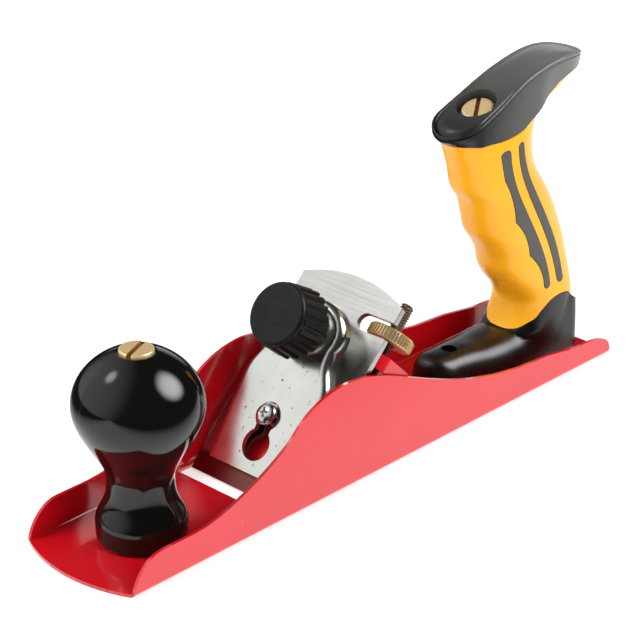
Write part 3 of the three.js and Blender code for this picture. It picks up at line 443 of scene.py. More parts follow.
grey_plastic, tree, shader = finish_material("grey_inlay", (0.1, 0.1, 0.095), IOR=1.45)
grit = mottled(tree, 2500.0)
tint(shader, grit, (0.06, 0.06, 0.057), (0.088, 0.088, 0.083))
feed(shader, "Roughness", mottled(tree, 120.0, 0.5, 0.6))
add_bump(shader, grit, 0.02)
print("grip and inlays:", yellow_plastic.name, grey_plastic.name)

# %% [markdown]
# ### Steel, plating and brass
# The blade is ground, and its fine scratches run across it, so its grain is noise stretched
# along Y. Just above the cutting edge it carries painted shade: a dark brown film that stands in
# for the shade under the lever cap's lower edge. The lever cap and its screw are plated: almost a
# mirror, with tiny pits. The stud has darkened, and the brass parts are turned, bright on top with
# brown in the slot.


# %% Steel, plating and brass
def metal(name, low, high, rough, pits=None, scratches=None, relief=0.004, metallic=1.0):
    """A metal between two colours, polished between two values; pits and scratches are optional."""
    material, tree, shader = finish_material(name, low, Metallic=metallic, IOR=1.5)
    if scratches:
        tone = place_effect(tree, grain, **scratches)
        add_bump(shader, tone, relief)
    else:
        tone = mottled(tree, 45.0)
    tint(shader, tone, low, high)
    if pits:
        dots = speckled(tree, *pits)
        stain(shader, dots, (0.12, 0.11, 0.1))
        add_bump(shader, dots, -0.03)
    feed(shader, "Roughness", mottled(tree, 80.0, *rough))
    return material


ACROSS = {"Stretch": (1.0, 0.03, 1.0), "Scale": 1100.0}
ROUND = {"Scale": 1800.0}
ground_steel = metal("ground_steel", (0.4, 0.4, 0.39), (0.66, 0.66, 0.64), (0.2, 0.28),
                     scratches=ACROSS, relief=0.008)
plating = metal("bright_plating", (0.74, 0.76, 0.71), (0.86, 0.87, 0.83), (0.17, 0.25),
                pits=(700.0, 0.17, 0.03))
chrome = metal("chrome", (0.6, 0.6, 0.58), (0.72, 0.72, 0.7), (0.16, 0.24))
plain_steel = metal("plain_steel", (0.42, 0.41, 0.39), (0.55, 0.54, 0.52), (0.28, 0.4))
slot_brown = metal("brown_in_the_slots", (0.3, 0.12, 0.03), (0.55, 0.27, 0.09), (0.35, 0.5),
                   metallic=0.4)
dark_steel = metal("darkened_steel", (0.16, 0.12, 0.09), (0.32, 0.26, 0.2), (0.3, 0.44),
                   pits=(900.0, 0.16, 0.05))
brass = metal("turned_brass", (0.9, 0.62, 0.28), (1.0, 0.78, 0.42), (0.2, 0.3), scratches=ROUND,
              metallic=0.55)
worn_brass = metal("worn_brass", (0.56, 0.4, 0.19), (0.74, 0.55, 0.3), (0.26, 0.36),
                   scratches=ROUND, metallic=0.7)

# Painted shade: the blade turns dark brown from its cutting edge to just past the cap's lower edge,
# where the cap shades it.
PAINTED_SHADE_FULL, PAINTED_SHADE_END, PAINTED_SHADE_RAGGED = 6.2 * MM, 8.6 * MM, 0.8 * MM
tree, shader = reopened(ground_steel)
from_edge = measure(tree, "SUBTRACT", place_on(tree), BED.translation)
up_slope = measure(tree, "DOT_PRODUCT", from_edge, along(BED_TILT))
reach = reckon(tree, "ADD", up_slope, mottled(tree, 160.0, -PAINTED_SHADE_RAGGED, PAINTED_SHADE_RAGGED))
stain(shader, ramp(tree, reach, PAINTED_SHADE_END, PAINTED_SHADE_FULL), (0.2, 0.07, 0.06))
print("finishes:", len(bpy.data.materials))

# %% [markdown]
# ## Tools that make a form
# Every piece is made in one of three ways: a profile is spun, an outline is drawn and pulled into
# a prism, or a row of loops is joined into a skin. A few short helpers cover them.


# %% Tools that make a form
def curve(points, steps=8):
    """Points along joined Bezier curves: a start, then two handles and an end for each."""
    ends = [Vector(p).to_3d() for p in points]
    found = [ends[0]]
    for i in range(0, len(ends) - 1, 3):
        found += interpolate_bezier(*ends[i:i + 4], steps + 1)[1:]
    return [(p.x, p.y) for p in found]


def steps_between(low, high, count):
    return [low + (high - low) * i / count for i in range(count + 1)]


def arc(cx, cy, radius, start, end, steps):
    """Points round a centre, from one angle in degrees to another."""
    return [(cx + radius * cos(radians(a)), cy + radius * sin(radians(a)))
            for a in steps_between(start, end, steps)]


def spun(profile, steps=96):
    """A solid turned about Z from a profile of (radius, height)."""
    bm = bmesh.new()
    verts = [bm.verts.new((r, 0, z)) for r, z in profile]
    edges = [bm.edges.new(pair) for pair in zip(verts, verts[1:])]
    bmesh.ops.spin(bm, geom=verts + edges, cent=(0, 0, 0), axis=(0, 0, 1), angle=2 * pi,
                   steps=steps, use_merge=True)
    bmesh.ops.remove_doubles(bm, verts=bm.verts, dist=1e-4)
    bmesh.ops.recalc_face_normals(bm, faces=bm.faces)
    return bm


def bar(radius, low, high, steps):
    """A plain round bar, which also serves as a drill."""
    return spun([(0, low), (radius, low), (radius, high), (0, high)], steps)


def prism(outline, low, high, axis="Z"):
    """An outline pulled into a solid: over (x, y) along Z, or over (x, z) along Y."""
    bm = bmesh.new()
    upright = axis == "Z"
    face = bm.faces.new([bm.verts.new((a, b, low) if upright else (a, low, b)) for a, b in outline])
    moved = bmesh.ops.extrude_face_region(bm, geom=[face])["geom"]
    rise = (0, 0, high - low) if upright else (0, high - low, 0)
    bmesh.ops.translate(bm, vec=rise, verts=[g for g in moved if isinstance(g, bmesh.types.BMVert)])
    bmesh.ops.recalc_face_normals(bm, faces=bm.faces)
    return bm


def right_across(outline):
    """An outline over (x, z) pulled into a solid that is wider than the whole plane."""
    return prism(outline, -40, 40, axis="Y")


def skin(loops):
    """A closed skin over a row of loops with equally many points."""
    bm = bmesh.new()
    rings = []
    for loop in loops:
        verts = [bm.verts.new(p) for p in loop]
        rings.append([bm.edges.new((a, b)) for a, b in zip(verts, verts[1:] + verts[:1])])
    for below, above in zip(rings, rings[1:]):
        bmesh.ops.bridge_loops(bm, edges=below + above)
    bmesh.ops.holes_fill(bm, edges=rings[0] + rings[-1], sides=0)
    bmesh.ops.recalc_face_normals(bm, faces=bm.faces)
    return bm


def shifted(form, x):
    bmesh.ops.translate(form, vec=(x, 0, 0), verts=form.verts)
    return form


def turned(form, angle):
    """A form turned about Z by an angle in degrees."""
    bmesh.ops.rotate(form, cent=(0, 0, 0), matrix=Matrix.Rotation(radians(angle), 3, "Z"),
                     verts=form.verts)
    return form


# %% [markdown]
# ## Tools that combine, soften and settle forms
# Forms are cut, shared or fused with exact booleans, on two objects that are held for a moment.
# Then the sharp edges are broken, since no real edge is sharp, and the piece is settled in its
# place on the body that carries it, which is the plane unless another is named.


# %% Tools that combine, soften and settle forms
def joined(bm, other):
    """Two forms in one mesh, neither cut by the other."""
    held = bpy.data.meshes.new("held")
    other.to_mesh(held)
    other.free()
    bm.from_mesh(held)
    bpy.data.meshes.remove(held)
    return bm


def combined(bm, tools, operation):
    """A form cut by, shared with or fused with each tool in turn."""
    for tool in tools:
        pair = []
        for form in (bm, tool):
            held = bpy.data.objects.new("held", bpy.data.meshes.new("held"))
            form.to_mesh(held.data)
            form.free()
            scene.collection.objects.link(held)
            pair.append(held)
        boolean = pair[0].modifiers.new("cut", "BOOLEAN")
        boolean.object, boolean.solver, boolean.operation = pair[1], "EXACT", operation
        shown = pair[0].evaluated_get(bpy.context.evaluated_depsgraph_get())
        bm = bmesh.new()
        bm.from_mesh(shown.to_mesh())
        for held in pair:
            mesh = held.data
            bpy.data.objects.remove(held)
            bpy.data.meshes.remove(mesh)
    bmesh.ops.remove_doubles(bm, verts=bm.verts, dist=1e-3)
    return bm


def cut(bm, *tools):
    return combined(bm, tools, "DIFFERENCE")


def shared(bm, tool):
    return combined(bm, [tool], "INTERSECT")


def soften(bm, width, angle=30, segments=2, flat=0.5):
    """Breaks the sharp edges of a form, after its flat faces have lost their inner edges."""
    bmesh.ops.dissolve_limit(bm, angle_limit=radians(flat), verts=bm.verts, edges=bm.edges)
    sharp = [e for e in bm.edges
             if len(e.link_faces) == 2 and e.calc_face_angle(0) > radians(angle)]
    bmesh.ops.bevel(bm, geom=sharp, offset=width, offset_type="OFFSET", affect="EDGES",
                    segments=segments, profile=0.5, material=-1, clamp_overlap=True)
    return bm


def settle(bm, name, where, material, node, body="plane", angle=32, flat_faces=True):
    """Puts a form in its place in metres and makes it a piece that rides on a body."""
    bmesh.ops.transform(bm, matrix=where, verts=bm.verts)
    mesh = bpy.data.meshes.new(name)
    bm.to_mesh(mesh)
    bm.free()
    mesh.shade_smooth()
    mesh.set_sharp_from_angle(angle=radians(angle))
    mesh.materials.append(material)
    piece = bpy.data.objects.new(name, mesh)
    scene.collection.objects.link(piece)
    if flat_faces:
        shading = piece.modifiers.new("flat_faces_stay_flat", "WEIGHTED_NORMAL")
        shading.weight, shading.keep_sharp = 100, True
    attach(piece, body)
    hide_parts(node)
    low, high = (Vector(corner) / MM for corner in (piece.bound_box[0], piece.bound_box[6]))
    print(f"{name}: {len(mesh.polygons)} faces, {[round(v, 1) for v in high - low]} mm")
    return piece


# %% [markdown]
# ## The red body and the frog
# Both are bent from sheet, and their packed form is right: a folded channel with curved walls,
# and the bed plate with its two folded legs. What it lacks is the softness that paint gives every
# cut edge, so a merged copy gets its sharp edges rounded. That makes the line of light along the
# top of the walls.

# %% The red body and the frog
PAINT_ROUND = 0.3
for name, node in (("channel_shell", "body_channel"), ("frog_shell", "frog")):
    sheet = bmesh.new()
    sheet.from_mesh(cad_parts[node].data)
    bmesh.ops.scale(sheet, vec=(1 / MM,) * 3, verts=sheet.verts)
    bmesh.ops.remove_doubles(sheet, verts=sheet.verts, dist=1e-3)
    settle(soften(sheet, PAINT_ROUND), name, SOLE, red_paint, node)

# %% [markdown]
# ## Blade
# A flat bar of tool steel, ground all over, with an arched top end. One side is slotted for the
# rim of the brass nut that feeds it, and a keyhole lets it pass over the cap's screw. It is pulled
# from its outline, and the openings and the ground bevel are then cut away, in the order in which
# the real one is made.

# %% Blade
BLADE_HALF, BLADE_LONG, BLADE_THICK, BLADE_RISE, BEVEL = 23.3, 85.0, 2.4, 5.0, radians(25)
NUT_UP, NUT_RADIUS, NUT_THICK, STUD_RADIUS = 71.0, 8.5, 4.5, 2.45
PASS_SCREW, BESIDE_SCREW = 11.6, 5.8


def keyhole(wide_x, wide, end_x, narrow):
    """A slot between a wide round end and a narrow one."""
    turn = degrees(asin(narrow / wide))
    return arc(wide_x, 0, wide / 2, turn, 360 - turn, 40) + arc(end_x, 0, narrow / 2, -90, 90, 20)


end_radius = (BLADE_RISE ** 2 + BLADE_HALF ** 2) / (2 * BLADE_RISE)
spread = degrees(asin(BLADE_HALF / end_radius))
outline = [(0, BLADE_HALF), (0, -BLADE_HALF)]
outline += arc(BLADE_LONG - end_radius, 0, end_radius, -spread, spread, 64)
bevel_long = BLADE_THICK / tan(BEVEL)
ground_off = [(0, 0), (bevel_long, -BLADE_THICK), (bevel_long, -6), (-3, -6), (-3, 0)]
half_slot = NUT_THICK / 2 + 0.9
slot_end = STUD_ACROSS + NUT_RADIUS + 0.6
nut_slot = [(NUT_UP - half_slot, -40), (NUT_UP + half_slot, -40)]
nut_slot += arc(NUT_UP, slot_end - half_slot, half_slot, 0, 180, 24)
screw_slot = keyhole(SCREW_UP - 11.2, PASS_SCREW, SCREW_UP + 4.5, BESIDE_SCREW)
blade = cut(prism(outline, -BLADE_THICK, 0), right_across(ground_off), prism(screw_slot, -4, 2),
            prism(nut_slot, -4, 2))
settle(soften(blade, 0.18), "blade_iron", BED, ground_steel, "blade", body="blade")

# %% [markdown]
# ## Stud, its nuts and the brass adjusting nut
# The stud stands behind the bed on a lug, locked by two hexagon nuts. Its thread is a V swept up
# a helix, so the turns catch the light as on a real screw. The brass nut is a thick disc with fine
# ribs on its rim: a ribbed outline, whose two edges are taken off by a turned blank.

# %% Stud, its nuts and the brass adjusting nut
HEX, HEX_HIGH, NUT_FIT, TURNING_FIT = 8.0, 3.2, 0.15, 0.25
LUG_UP, LUG_HALF = 47.2, 1.5


def threaded(radius, low, high, pitch, depth, steps=28):
    """A threaded rod: a V of one pitch swept up a helix, round a core that closes both ends."""
    bm = bmesh.new()
    root = radius - depth
    crest = ((root, low), (radius, low + pitch / 2), (root, low + pitch))
    verts = [bm.verts.new((r, 0, z)) for r, z in crest]
    edges = [bm.edges.new(pair) for pair in zip(verts, verts[1:])]
    turns = int((high - low) / pitch) - 1
    bmesh.ops.spin(bm, geom=verts + edges, cent=(0, 0, 0), axis=(0, 0, 1),
                   dvec=(0, 0, pitch / steps), angle=2 * pi * turns, steps=steps * turns)
    bmesh.ops.remove_doubles(bm, verts=bm.verts, dist=1e-3)
    bmesh.ops.holes_fill(bm, edges=[e for e in bm.edges if e.is_boundary], sides=0)
    bmesh.ops.recalc_face_normals(bm, faces=bm.faces)
    core = radius - 0.8 * depth
    return joined(bm, spun([(0, low), (core - 0.4, low), (core, low + 0.4), (core, high - 0.5),
                            (core - 0.6, high), (0, high)], 32))


def ribbed(radius, depth, count, share):
    """A round outline with ribs on it; share is how much of the pitch a rib takes."""
    low = radius - depth
    rib = ((low, 0), (radius, 0.1), (radius, share - 0.1), (low, share), (low, 0.5 + share / 2))
    places = [(r, 2 * pi * (i + part) / count) for i in range(count) for r, part in rib]
    return [(r * cos(a), r * sin(a)) for r, a in places]


def hex_nut(low, rod_radius):
    """A hexagon nut with its corners turned off at both ends."""
    high, corner = low + HEX_HIGH, HEX / sqrt(3)
    blank = spun([(0, low), (HEX / 2, low), (corner + 0.05, low + 0.6),
                  (corner + 0.05, high - 0.6), (HEX / 2, high), (0, high)], 48)
    six = prism(arc(0, 0, corner, 0, 300, 5), low, high)
    return cut(shared(six, blank), bar(rod_radius + NUT_FIT, low - 1, high + 1, 32))


settle(threaded(STUD_RADIUS, 42, 84, 1.0, 0.5), "adjuster_stud_thread", STUD, dark_steel,
       "adjuster_stud")
for name, low, node in (("stud_nut_below", LUG_UP - LUG_HALF - HEX_HIGH, "stud_lower_nut"),
                        ("stud_nut_above", LUG_UP + LUG_HALF, "stud_upper_nut")):
    settle(hex_nut(low, STUD_RADIUS), name, STUD, plain_steel, node)
low, high, rim = NUT_UP - NUT_THICK / 2, NUT_UP + NUT_THICK / 2, NUT_RADIUS + 0.01
disc = spun([(0, low), (NUT_RADIUS - 0.8, low), (rim, low + 0.7), (rim, high - 0.7),
             (NUT_RADIUS - 0.8, high), (0, high)])
thumb = cut(shared(prism(ribbed(NUT_RADIUS, 0.55, 42, 0.5), low, high), disc),
            bar(STUD_RADIUS + TURNING_FIT, low - 1, high + 1, 64))
settle(soften(thumb, 0.06, segments=1), "adjuster_thumb_nut", STUD, worn_brass,
       "adjuster_nut", body="adjusting_nut")

# %% [markdown]
# ## Lever cap
# A plate pressed from 2 mm sheet, its sides rolled down, with a round head for the clamp and a
# keyhole. Only its outer skin is shaped: the outline is pulled down and opened underneath, the rim
# is rolled by a round bevel, and the skin then gets its thickness inwards, as sheet has it. A
# wedge takes off what would sink into the blade.

# %% Lever cap
CAP_SHEET, CAP_DEEP, CAP_ROLL = 2.0, 5.6, 3.0
HEAD_RADIUS, HEAD_SHORT, NECK_X, NECK_HALF = 15.2, 0.76, 46.5, 14.4
WIDE_X, WIDE_HALF, LOW_HALF, CAP_TRAVEL = 32.0, 19.3, 18.8, 10.4
one_side = [(-6, -LOW_HALF)] + curve(
    [(0, -LOW_HALF), (WIDE_X / 2, -WIDE_HALF), (WIDE_X, -WIDE_HALF), (WIDE_X, -WIDE_HALF),
     (WIDE_X + 6, -WIDE_HALF), (NECK_X - 6, -NECK_HALF), (NECK_X, -NECK_HALF)], 18)
head_turn = degrees(asin(NECK_HALF / HEAD_RADIUS)) * 0.98
head = arc(CLAMP_UP, 0, HEAD_RADIUS, -180 + head_turn, 180 - head_turn, 72)
outline = one_side + [(x if x < CLAMP_UP else CLAMP_UP + HEAD_SHORT * (x - CLAMP_UP), y)
                      for x, y in head] + [(x, -y) for x, y in reversed(one_side)]
cap = prism(outline, CAP_SHEET - CAP_DEEP, CAP_SHEET)
bmesh.ops.delete(cap, geom=[f for f in cap.faces if f.normal.z < -0.9], context="FACES")
rim = [e for e in cap.edges if all(v.co.z > CAP_SHEET - 0.01 for v in e.verts)]
bmesh.ops.bevel(cap, geom=rim, offset=CAP_ROLL, offset_type="OFFSET", affect="EDGES", segments=7,
                profile=0.5, material=-1, clamp_overlap=False)
bmesh.ops.remove_doubles(cap, verts=cap.verts, dist=1e-3)
bmesh.ops.recalc_face_normals(cap, faces=cap.faces)
bmesh.ops.solidify(cap, geom=cap.faces[:], thickness=CAP_SHEET)
bmesh.ops.recalc_face_normals(cap, faces=cap.faces)
boss = shifted(bar(5.5, -3, 1, 48), CLAMP_UP)
drop = tan(CAP_TILT)
into_blade = [(-60, 0), (0, 0), (100, -100 * drop), (100, -60), (-60, -60)]
lower_end = [(-20, -20), (0, -20), (0, 20), (-20, 20)]
screw_x = (SCREW_UP - CAP_UP) / cos(CAP_TILT) + CAP_SHEET / 2 * drop
screw_slot = keyhole(screw_x - CAP_TRAVEL / cos(CAP_TILT), PASS_SCREW, screw_x, 6.8)
dimple = spun([(0, CAP_SHEET - 0.8), (4.6, CAP_SHEET - 0.8), (5.2, CAP_SHEET - 0.2), (5.4, 4),
               (0, 4)], 64)
cap = cut(joined(cap, boss), right_across(into_blade), right_across(lower_end),
          prism(screw_slot, -4, 4), shifted(dimple, screw_x),
          shifted(bar(3.3, -6, 6, 40), CLAMP_UP))
settle(soften(cap, 0.22, angle=40, flat=0.2), "lever_cap_plate", CAP, plating,
       "lever_cap", body="lever_cap")

# %% [markdown]
# ## The cap's screw and nut
# A pan-headed screw with a cross recess, through the cap and the blade to a nut behind the bed.
# The recess is two tapered slots crossed; the dome comes from spinning its profile.

# %% The cap's screw and nut
SCREW_RADIUS, SCREW_HEAD, HEAD_HIGH, CROSS_DEEP = 2.4, 4, 2.4, 1.5
head_low = (SCREW_UP + SCREW_HEAD - CAP_UP) * drop + CAP_SHEET / cos(CAP_TILT) + 0.6
head_top = head_low + HEAD_HIGH
dome = curve([(SCREW_HEAD, head_low + 0.5), (SCREW_HEAD, head_low + 1.6), (2.6, head_top),
              (0.001, head_top)], 12)
screw = spun([(0, -9.3), (1.9, -9.3), (SCREW_RADIUS, -8.8), (SCREW_RADIUS, head_low),
              (3.9, head_low)] + dome[:-1] + [(0, head_top)], 64)
arm = [(-2.2, head_top + 1), (-2.0, head_top), (-1.1, head_top - CROSS_DEEP),
       (1.1, head_top - CROSS_DEEP), (2.0, head_top), (2.2, head_top + 1)]
for turn in (20, 110):
    screw = cut(screw, turned(prism(arm, -0.5, 0.5, axis="Y"), turn))
settle(soften(screw, 0.08), "cap_cross_screw", CAP_SCREW, chrome, "cap_screw")
settle(hex_nut(-7.8, SCREW_RADIUS), "cap_hex_nut", CAP_SCREW, plain_steel, "cap_screw_nut")

# %% [markdown]
# ## Clamp screw and collar
# The screw runs down through the cap to a round tip that presses on the blade. The collar above
# the cap is turned and plated. Both are round, so both are spun.

# %% Clamp screw and collar
COLLAR_LOW, COLLAR_HIGH, COLLAR_RADIUS, COLLAR_BORE = 3.7, 6.7, 9, 3.3
CLAMP_SCREW_RADIUS, CLAMP_RADIUS, KNOB_LOW, KNOB_TOP, FACE_HIGH = 3, 12.8, 7.0, 20.4, 1.9
tip = -(CLAMP_UP * sin(CAP_TILT) - CLAMP_SCREW_RADIUS) / cos(CAP_TILT)
screw = spun([(0, tip - CLAMP_SCREW_RADIUS)] + arc(0, tip, CLAMP_SCREW_RADIUS, -80, 0, 8)
             + [(CLAMP_SCREW_RADIUS, KNOB_LOW + 5.5), (0, KNOB_LOW + 5.5)], 48)
settle(screw, "clamp_screw_shank", CLAMP, plain_steel, "clamp_screw", body="clamp_knob")
collar = spun([(COLLAR_BORE, COLLAR_LOW), (8.4, COLLAR_LOW), (COLLAR_RADIUS, COLLAR_LOW + 0.6),
               (COLLAR_RADIUS, COLLAR_HIGH - 0.5), (8.5, COLLAR_HIGH), (COLLAR_BORE, COLLAR_HIGH),
               (COLLAR_BORE, COLLAR_LOW)])
settle(collar, "clamp_collar_ring", CLAMP, plating, "clamp_collar", body="clamp_collar")

# %% [markdown]
# ## Clamp knob
# The knob is moulded: a smooth round face over a ribbed skirt that narrows a little. The ribs are
# one outline pulled up to just under the face, with their edges softened, and the face is spun
# with a shallow ring in it.

# %% Clamp knob
SKIRT_TAPER, RING_DEEP = 0.1, 0.14
skirt = soften(prism(ribbed(CLAMP_RADIUS, 1.0, 20, 0.68), KNOB_LOW, KNOB_TOP - FACE_HIGH), 0.3)
for vert in skirt.verts:
    vert.co.xy *= 1 - SKIRT_TAPER * (vert.co.z - KNOB_LOW) / (KNOB_TOP - KNOB_LOW)
face_radius, face_low = CLAMP_RADIUS - 1.4, KNOB_TOP - FACE_HIGH - 0.6
rounding = curve([(face_radius, face_low + 0.8), (face_radius, KNOB_TOP - 0.5),
                  (face_radius - 0.4, KNOB_TOP), (face_radius - 1.5, KNOB_TOP)], 8)
ring = [(4.9, KNOB_TOP), (4.7, KNOB_TOP - RING_DEEP), (4.5, KNOB_TOP - RING_DEEP), (4.3, KNOB_TOP)]
face = spun([(0, face_low), (face_radius - 0.9, face_low)] + rounding + ring + [(0, KNOB_TOP)])
bore = bar(CLAMP_SCREW_RADIUS + 0.2, KNOB_LOW - 1, KNOB_LOW + 5.8, 32)
settle(joined(cut(skirt, bore), face), "clamp_knob_moulding", CLAMP, clamp_black,
       "clamp_knob", body="clamp_knob", angle=40)

# %% [markdown]
# ## Front knob
# A ball on a waisted foot. The real one is moulded as one turned form with a stepped bore for a
# long brass nut, so the whole section, bore and all, is one closed profile spun about the axis.

# %% Front knob
KNOB_HEIGHT, FOOT_RADIUS, WAIST, BALL, CROWN = 69.4, 15.45, 11.25, 22, 5.1
NUT_HEAD, NUT_HEAD_HIGH, BARREL, BARREL_LONG, ROD_BORE, LOOSE = 11.8, 3.0, 7.0, 9.0, 2.8, 0.3
knob_nut_low = KNOB_HEIGHT - 0.4 - NUT_HEAD_HIGH
outer = curve([(14.25, 0.05), (15.15, 0.05), (FOOT_RADIUS, 1.2), (FOOT_RADIUS, 6.6),
               (FOOT_RADIUS, 11.4), (WAIST, 12), (WAIST, 22.7), (WAIST, 29.4), (BALL, 39.4),
               (BALL, 48.7), (BALL, 63.3), (CROWN, KNOB_HEIGHT), (0, KNOB_HEIGHT)], 24)
mouth, barrel = NUT_HEAD / 2 + LOOSE, BARREL / 2 + LOOSE
barrel_low = knob_nut_low - BARREL_LONG - LOOSE
outer = [p for p in outer if p[0] > mouth + 0.25]
bore = [(mouth, outer[-1][1] - 0.12), (mouth, knob_nut_low - LOOSE), (barrel, knob_nut_low - LOOSE),
        (barrel, barrel_low), (ROD_BORE, barrel_low), (ROD_BORE, 0.05)]
settle(spun(outer + bore + outer[:1], 128), "front_ball_knob", KNOB, knob_black,
       "front_knob", flat_faces=False)

# %% [markdown]
# ## Brass nuts
# Both handles are held by the same nut: a round head with a driver slot over a barrel that takes
# the rod. The rim of the head is rounded by turning, and the slot is milled straight across. Its
# faces take the brown finish.

# %% Brass nuts
ROD_THREAD, SLOT_HALF, SLOT_DEEP = 2.65, 0.85, 1.6


def brass_nut(low, turn, name, where, node):
    """The nut with its head's underside at a height and its slot turned by an angle."""
    high, head, barrel_low = low + NUT_HEAD_HIGH, NUT_HEAD / 2, low - BARREL_LONG
    rounding = curve([(head, high - 0.8), (head, high - 0.25), (head - 0.3, high),
                      (head - 1, high)], 6)
    blank = spun([(ROD_THREAD, barrel_low), (BARREL / 2, barrel_low), (BARREL / 2, low),
                  (head - 0.2, low), (head, low + 0.2)] + rounding
                 + [(0, high), (0, low - 0.5), (ROD_THREAD, low - 0.5), (ROD_THREAD, barrel_low)])
    slot = [(-8, -SLOT_HALF), (8, -SLOT_HALF), (8, SLOT_HALF), (-8, SLOT_HALF)]
    slot = turned(prism(slot, high - SLOT_DEEP, high + 1), turn)
    nut = soften(cut(blank, slot), 0.1, angle=50, flat=0.1)
    for face in nut.faces:
        middle = face.calc_center_median()
        in_slot = high - SLOT_DEEP - 0.1 < middle.z < high - 0.12
        face.material_index = in_slot and middle.xy.length < head - 0.35
    settle(nut, name, where, brass, node).data.materials.append(slot_brown)


brass_nut(knob_nut_low, 22, "front_brass_nut", KNOB, "front_knob_nut")
brass_nut(ROD_NUT, 32, "handle_brass_nut", ROD, "handle_nut")

# %% [markdown]
# ## The grip's form
# The rear handle is three mouldings that meet at two wavy seams. Each has a smooth form that runs
# on past its seams, and the seams are then cut through all of them with one line, so the pieces
# meet everywhere with the same fine gap. The grip's form is a skin over level ovals, whose front,
# rear and half-width follow smooth tables up its height.


# %% The grip's form
def through(pairs):
    """A smooth value through known places, with no overshoot between equal neighbours."""
    last = len(pairs) - 1

    def slope(i):
        (x, y), (x0, y0), (x1, y1) = pairs[i], pairs[max(i - 1, 0)], pairs[min(i + 1, last)]
        return 0 if (y1 - y) * (y - y0) <= 0 else (y1 - y0) / (x1 - x0)

    def value(x):
        if x <= pairs[0][0] or x >= pairs[-1][0]:
            return pairs[0][1] if x <= pairs[0][0] else pairs[-1][1]
        i = next(k for k in range(last) if pairs[k + 1][0] > x)
        (x0, y0), (x1, y1) = pairs[i], pairs[i + 1]
        span, t = x1 - x0, (x - x0) / (x1 - x0)
        rise = slope(i) * span * (t - 2 * t * t + t ** 3) + slope(i + 1) * span * (t ** 3 - t * t)
        return y0 + (y1 - y0) * (3 * t * t - 2 * t ** 3) + rise

    return value


def oval(cx, cy, half_x, half_y, square, sides=64):
    """Points round an oval, which turns squarer as its exponent grows from 2."""
    points = []
    for a in steps_between(0, 2 * pi, sides)[:-1]:
        u, v = (copysign(abs(share) ** (2 / square), share) for share in (cos(a), sin(a)))
        points.append((cx + half_x * u, cy + half_y * v))
    return points


GRIP_FRONT = through(
    [(12, 41.8), (14.2, 44), (18, 46.5), (21.7, 47.9), (23.6, 48.1), (26.5, 47), (30, 44.3),
     (34.1, 40.4), (38, 37.7), (40.2, 36.6), (45.2, 35.2), (50.2, 32.2), (56.2, 27.5), (61.2, 26),
     (66.2, 24.6), (70.2, 23), (74.7, 19.6), (78.2, 18.2), (83.2, 17), (89.2, 14.6), (93.2, 12.8),
     (97.2, 10)])
GRIP_REAR = through(
    [(13.2, 76.6), (23.2, 76.4), (32.2, 74.8), (39.2, 73.4), (49.2, 70.6), (60.8, 66),
     (69.2, 60.8), (75.2, 56.7), (80.2, 54.3), (86.2, 53.5), (90.2, 53.9), (94.2, 55.1),
     (98.2, 57.6), (102.2, 64.4), (106.2, 74.2), (109.2, 78.4), (112, 79.4)])
GRIP_HALF = through([(13.2, 13), (23.2, 13), (44.2, 12.4), (69.2, 12), (87.2, 11.2), (98.2, 10.6),
                     (111.2, 9.8)])
GRIP_SQUARE = through([(13.2, 2.8), (29.2, 2.8), (59.2, 2.5), (111.2, 2.3)])


def grip_form(inset, levels=78, sides=64, low=12.6, high=112):
    loops = []
    for z in steps_between(low, high, levels):
        front, rear = GRIP_FRONT(z) + inset, GRIP_REAR(z) - inset
        level = oval((front + rear) / 2, 0, (rear - front) / 2, GRIP_HALF(z) - inset,
                     GRIP_SQUARE(z), sides)
        loops.append([(x, y, z) for x, y in level])
    return skin(loops)


# %% [markdown]
# ## The top's form
# The top is a cap over the horn and the tail, with a bead round its rim. Its rings start on a
# level floor inside the grip, climb the skirt, go round the bead, and then shrink to the middle
# over a low dome.

# %% The top's form
TOP_RIM = through(
    [(8, 99), (11, 100.6), (15.4, 102.3), (21.4, 104.4), (29, 107.2), (37.4, 110.6), (45.4, 113.4),
     (57.4, 115.8), (66.4, 116.4), (72, 116.1), (76, 115.6), (80.4, 114.8)])
TOP_FRONT, TOP_TIP, TOP_TAIL, TOP_NOSE, TOP_FLOOR = 8.6, 80.4, 60.0, 10.6, 83
NOSE_TUCK, TAIL_TUCK = 5.0, 2.0
TOP_HALF = through([(22, TOP_NOSE), (50, 9.3)])
SKIRT_SPREAD = through([(22, 0.4), (50, 1.2), (61, -3), (70, -1), (80.4, 0)])
# How far each ring of the bead is drawn in from the rim, and how far it is lifted.
BEAD = ((0.1, -2.0), (0.1, -1.6), (0.5, -1.45), (0.5, -1.2), (0.12, -1.0), (0, -0.7), (0.03, -0.4),
        (0.2, -0.1), (0.5, 0.08), (0.9, 0.1), (1.25, -0.05), (1.5, -0.25), (1.75, -0.25))
DOME_HIGH = 1.4


def nose_and_tail(x):
    """How far a place is into the nose and into the tail, both 1 at the very end."""
    return (max(0, (TOP_FRONT + TOP_NOSE - x) / TOP_NOSE),
            max(0, (x - TOP_TAIL) / (TOP_TIP - TOP_TAIL)))


def top_width(x):
    nose, tail = nose_and_tail(x)
    return TOP_HALF(x) * sqrt(max(0, 1 - nose ** 2)) * max(0, 1 - tail ** 3) ** (1 / 3)


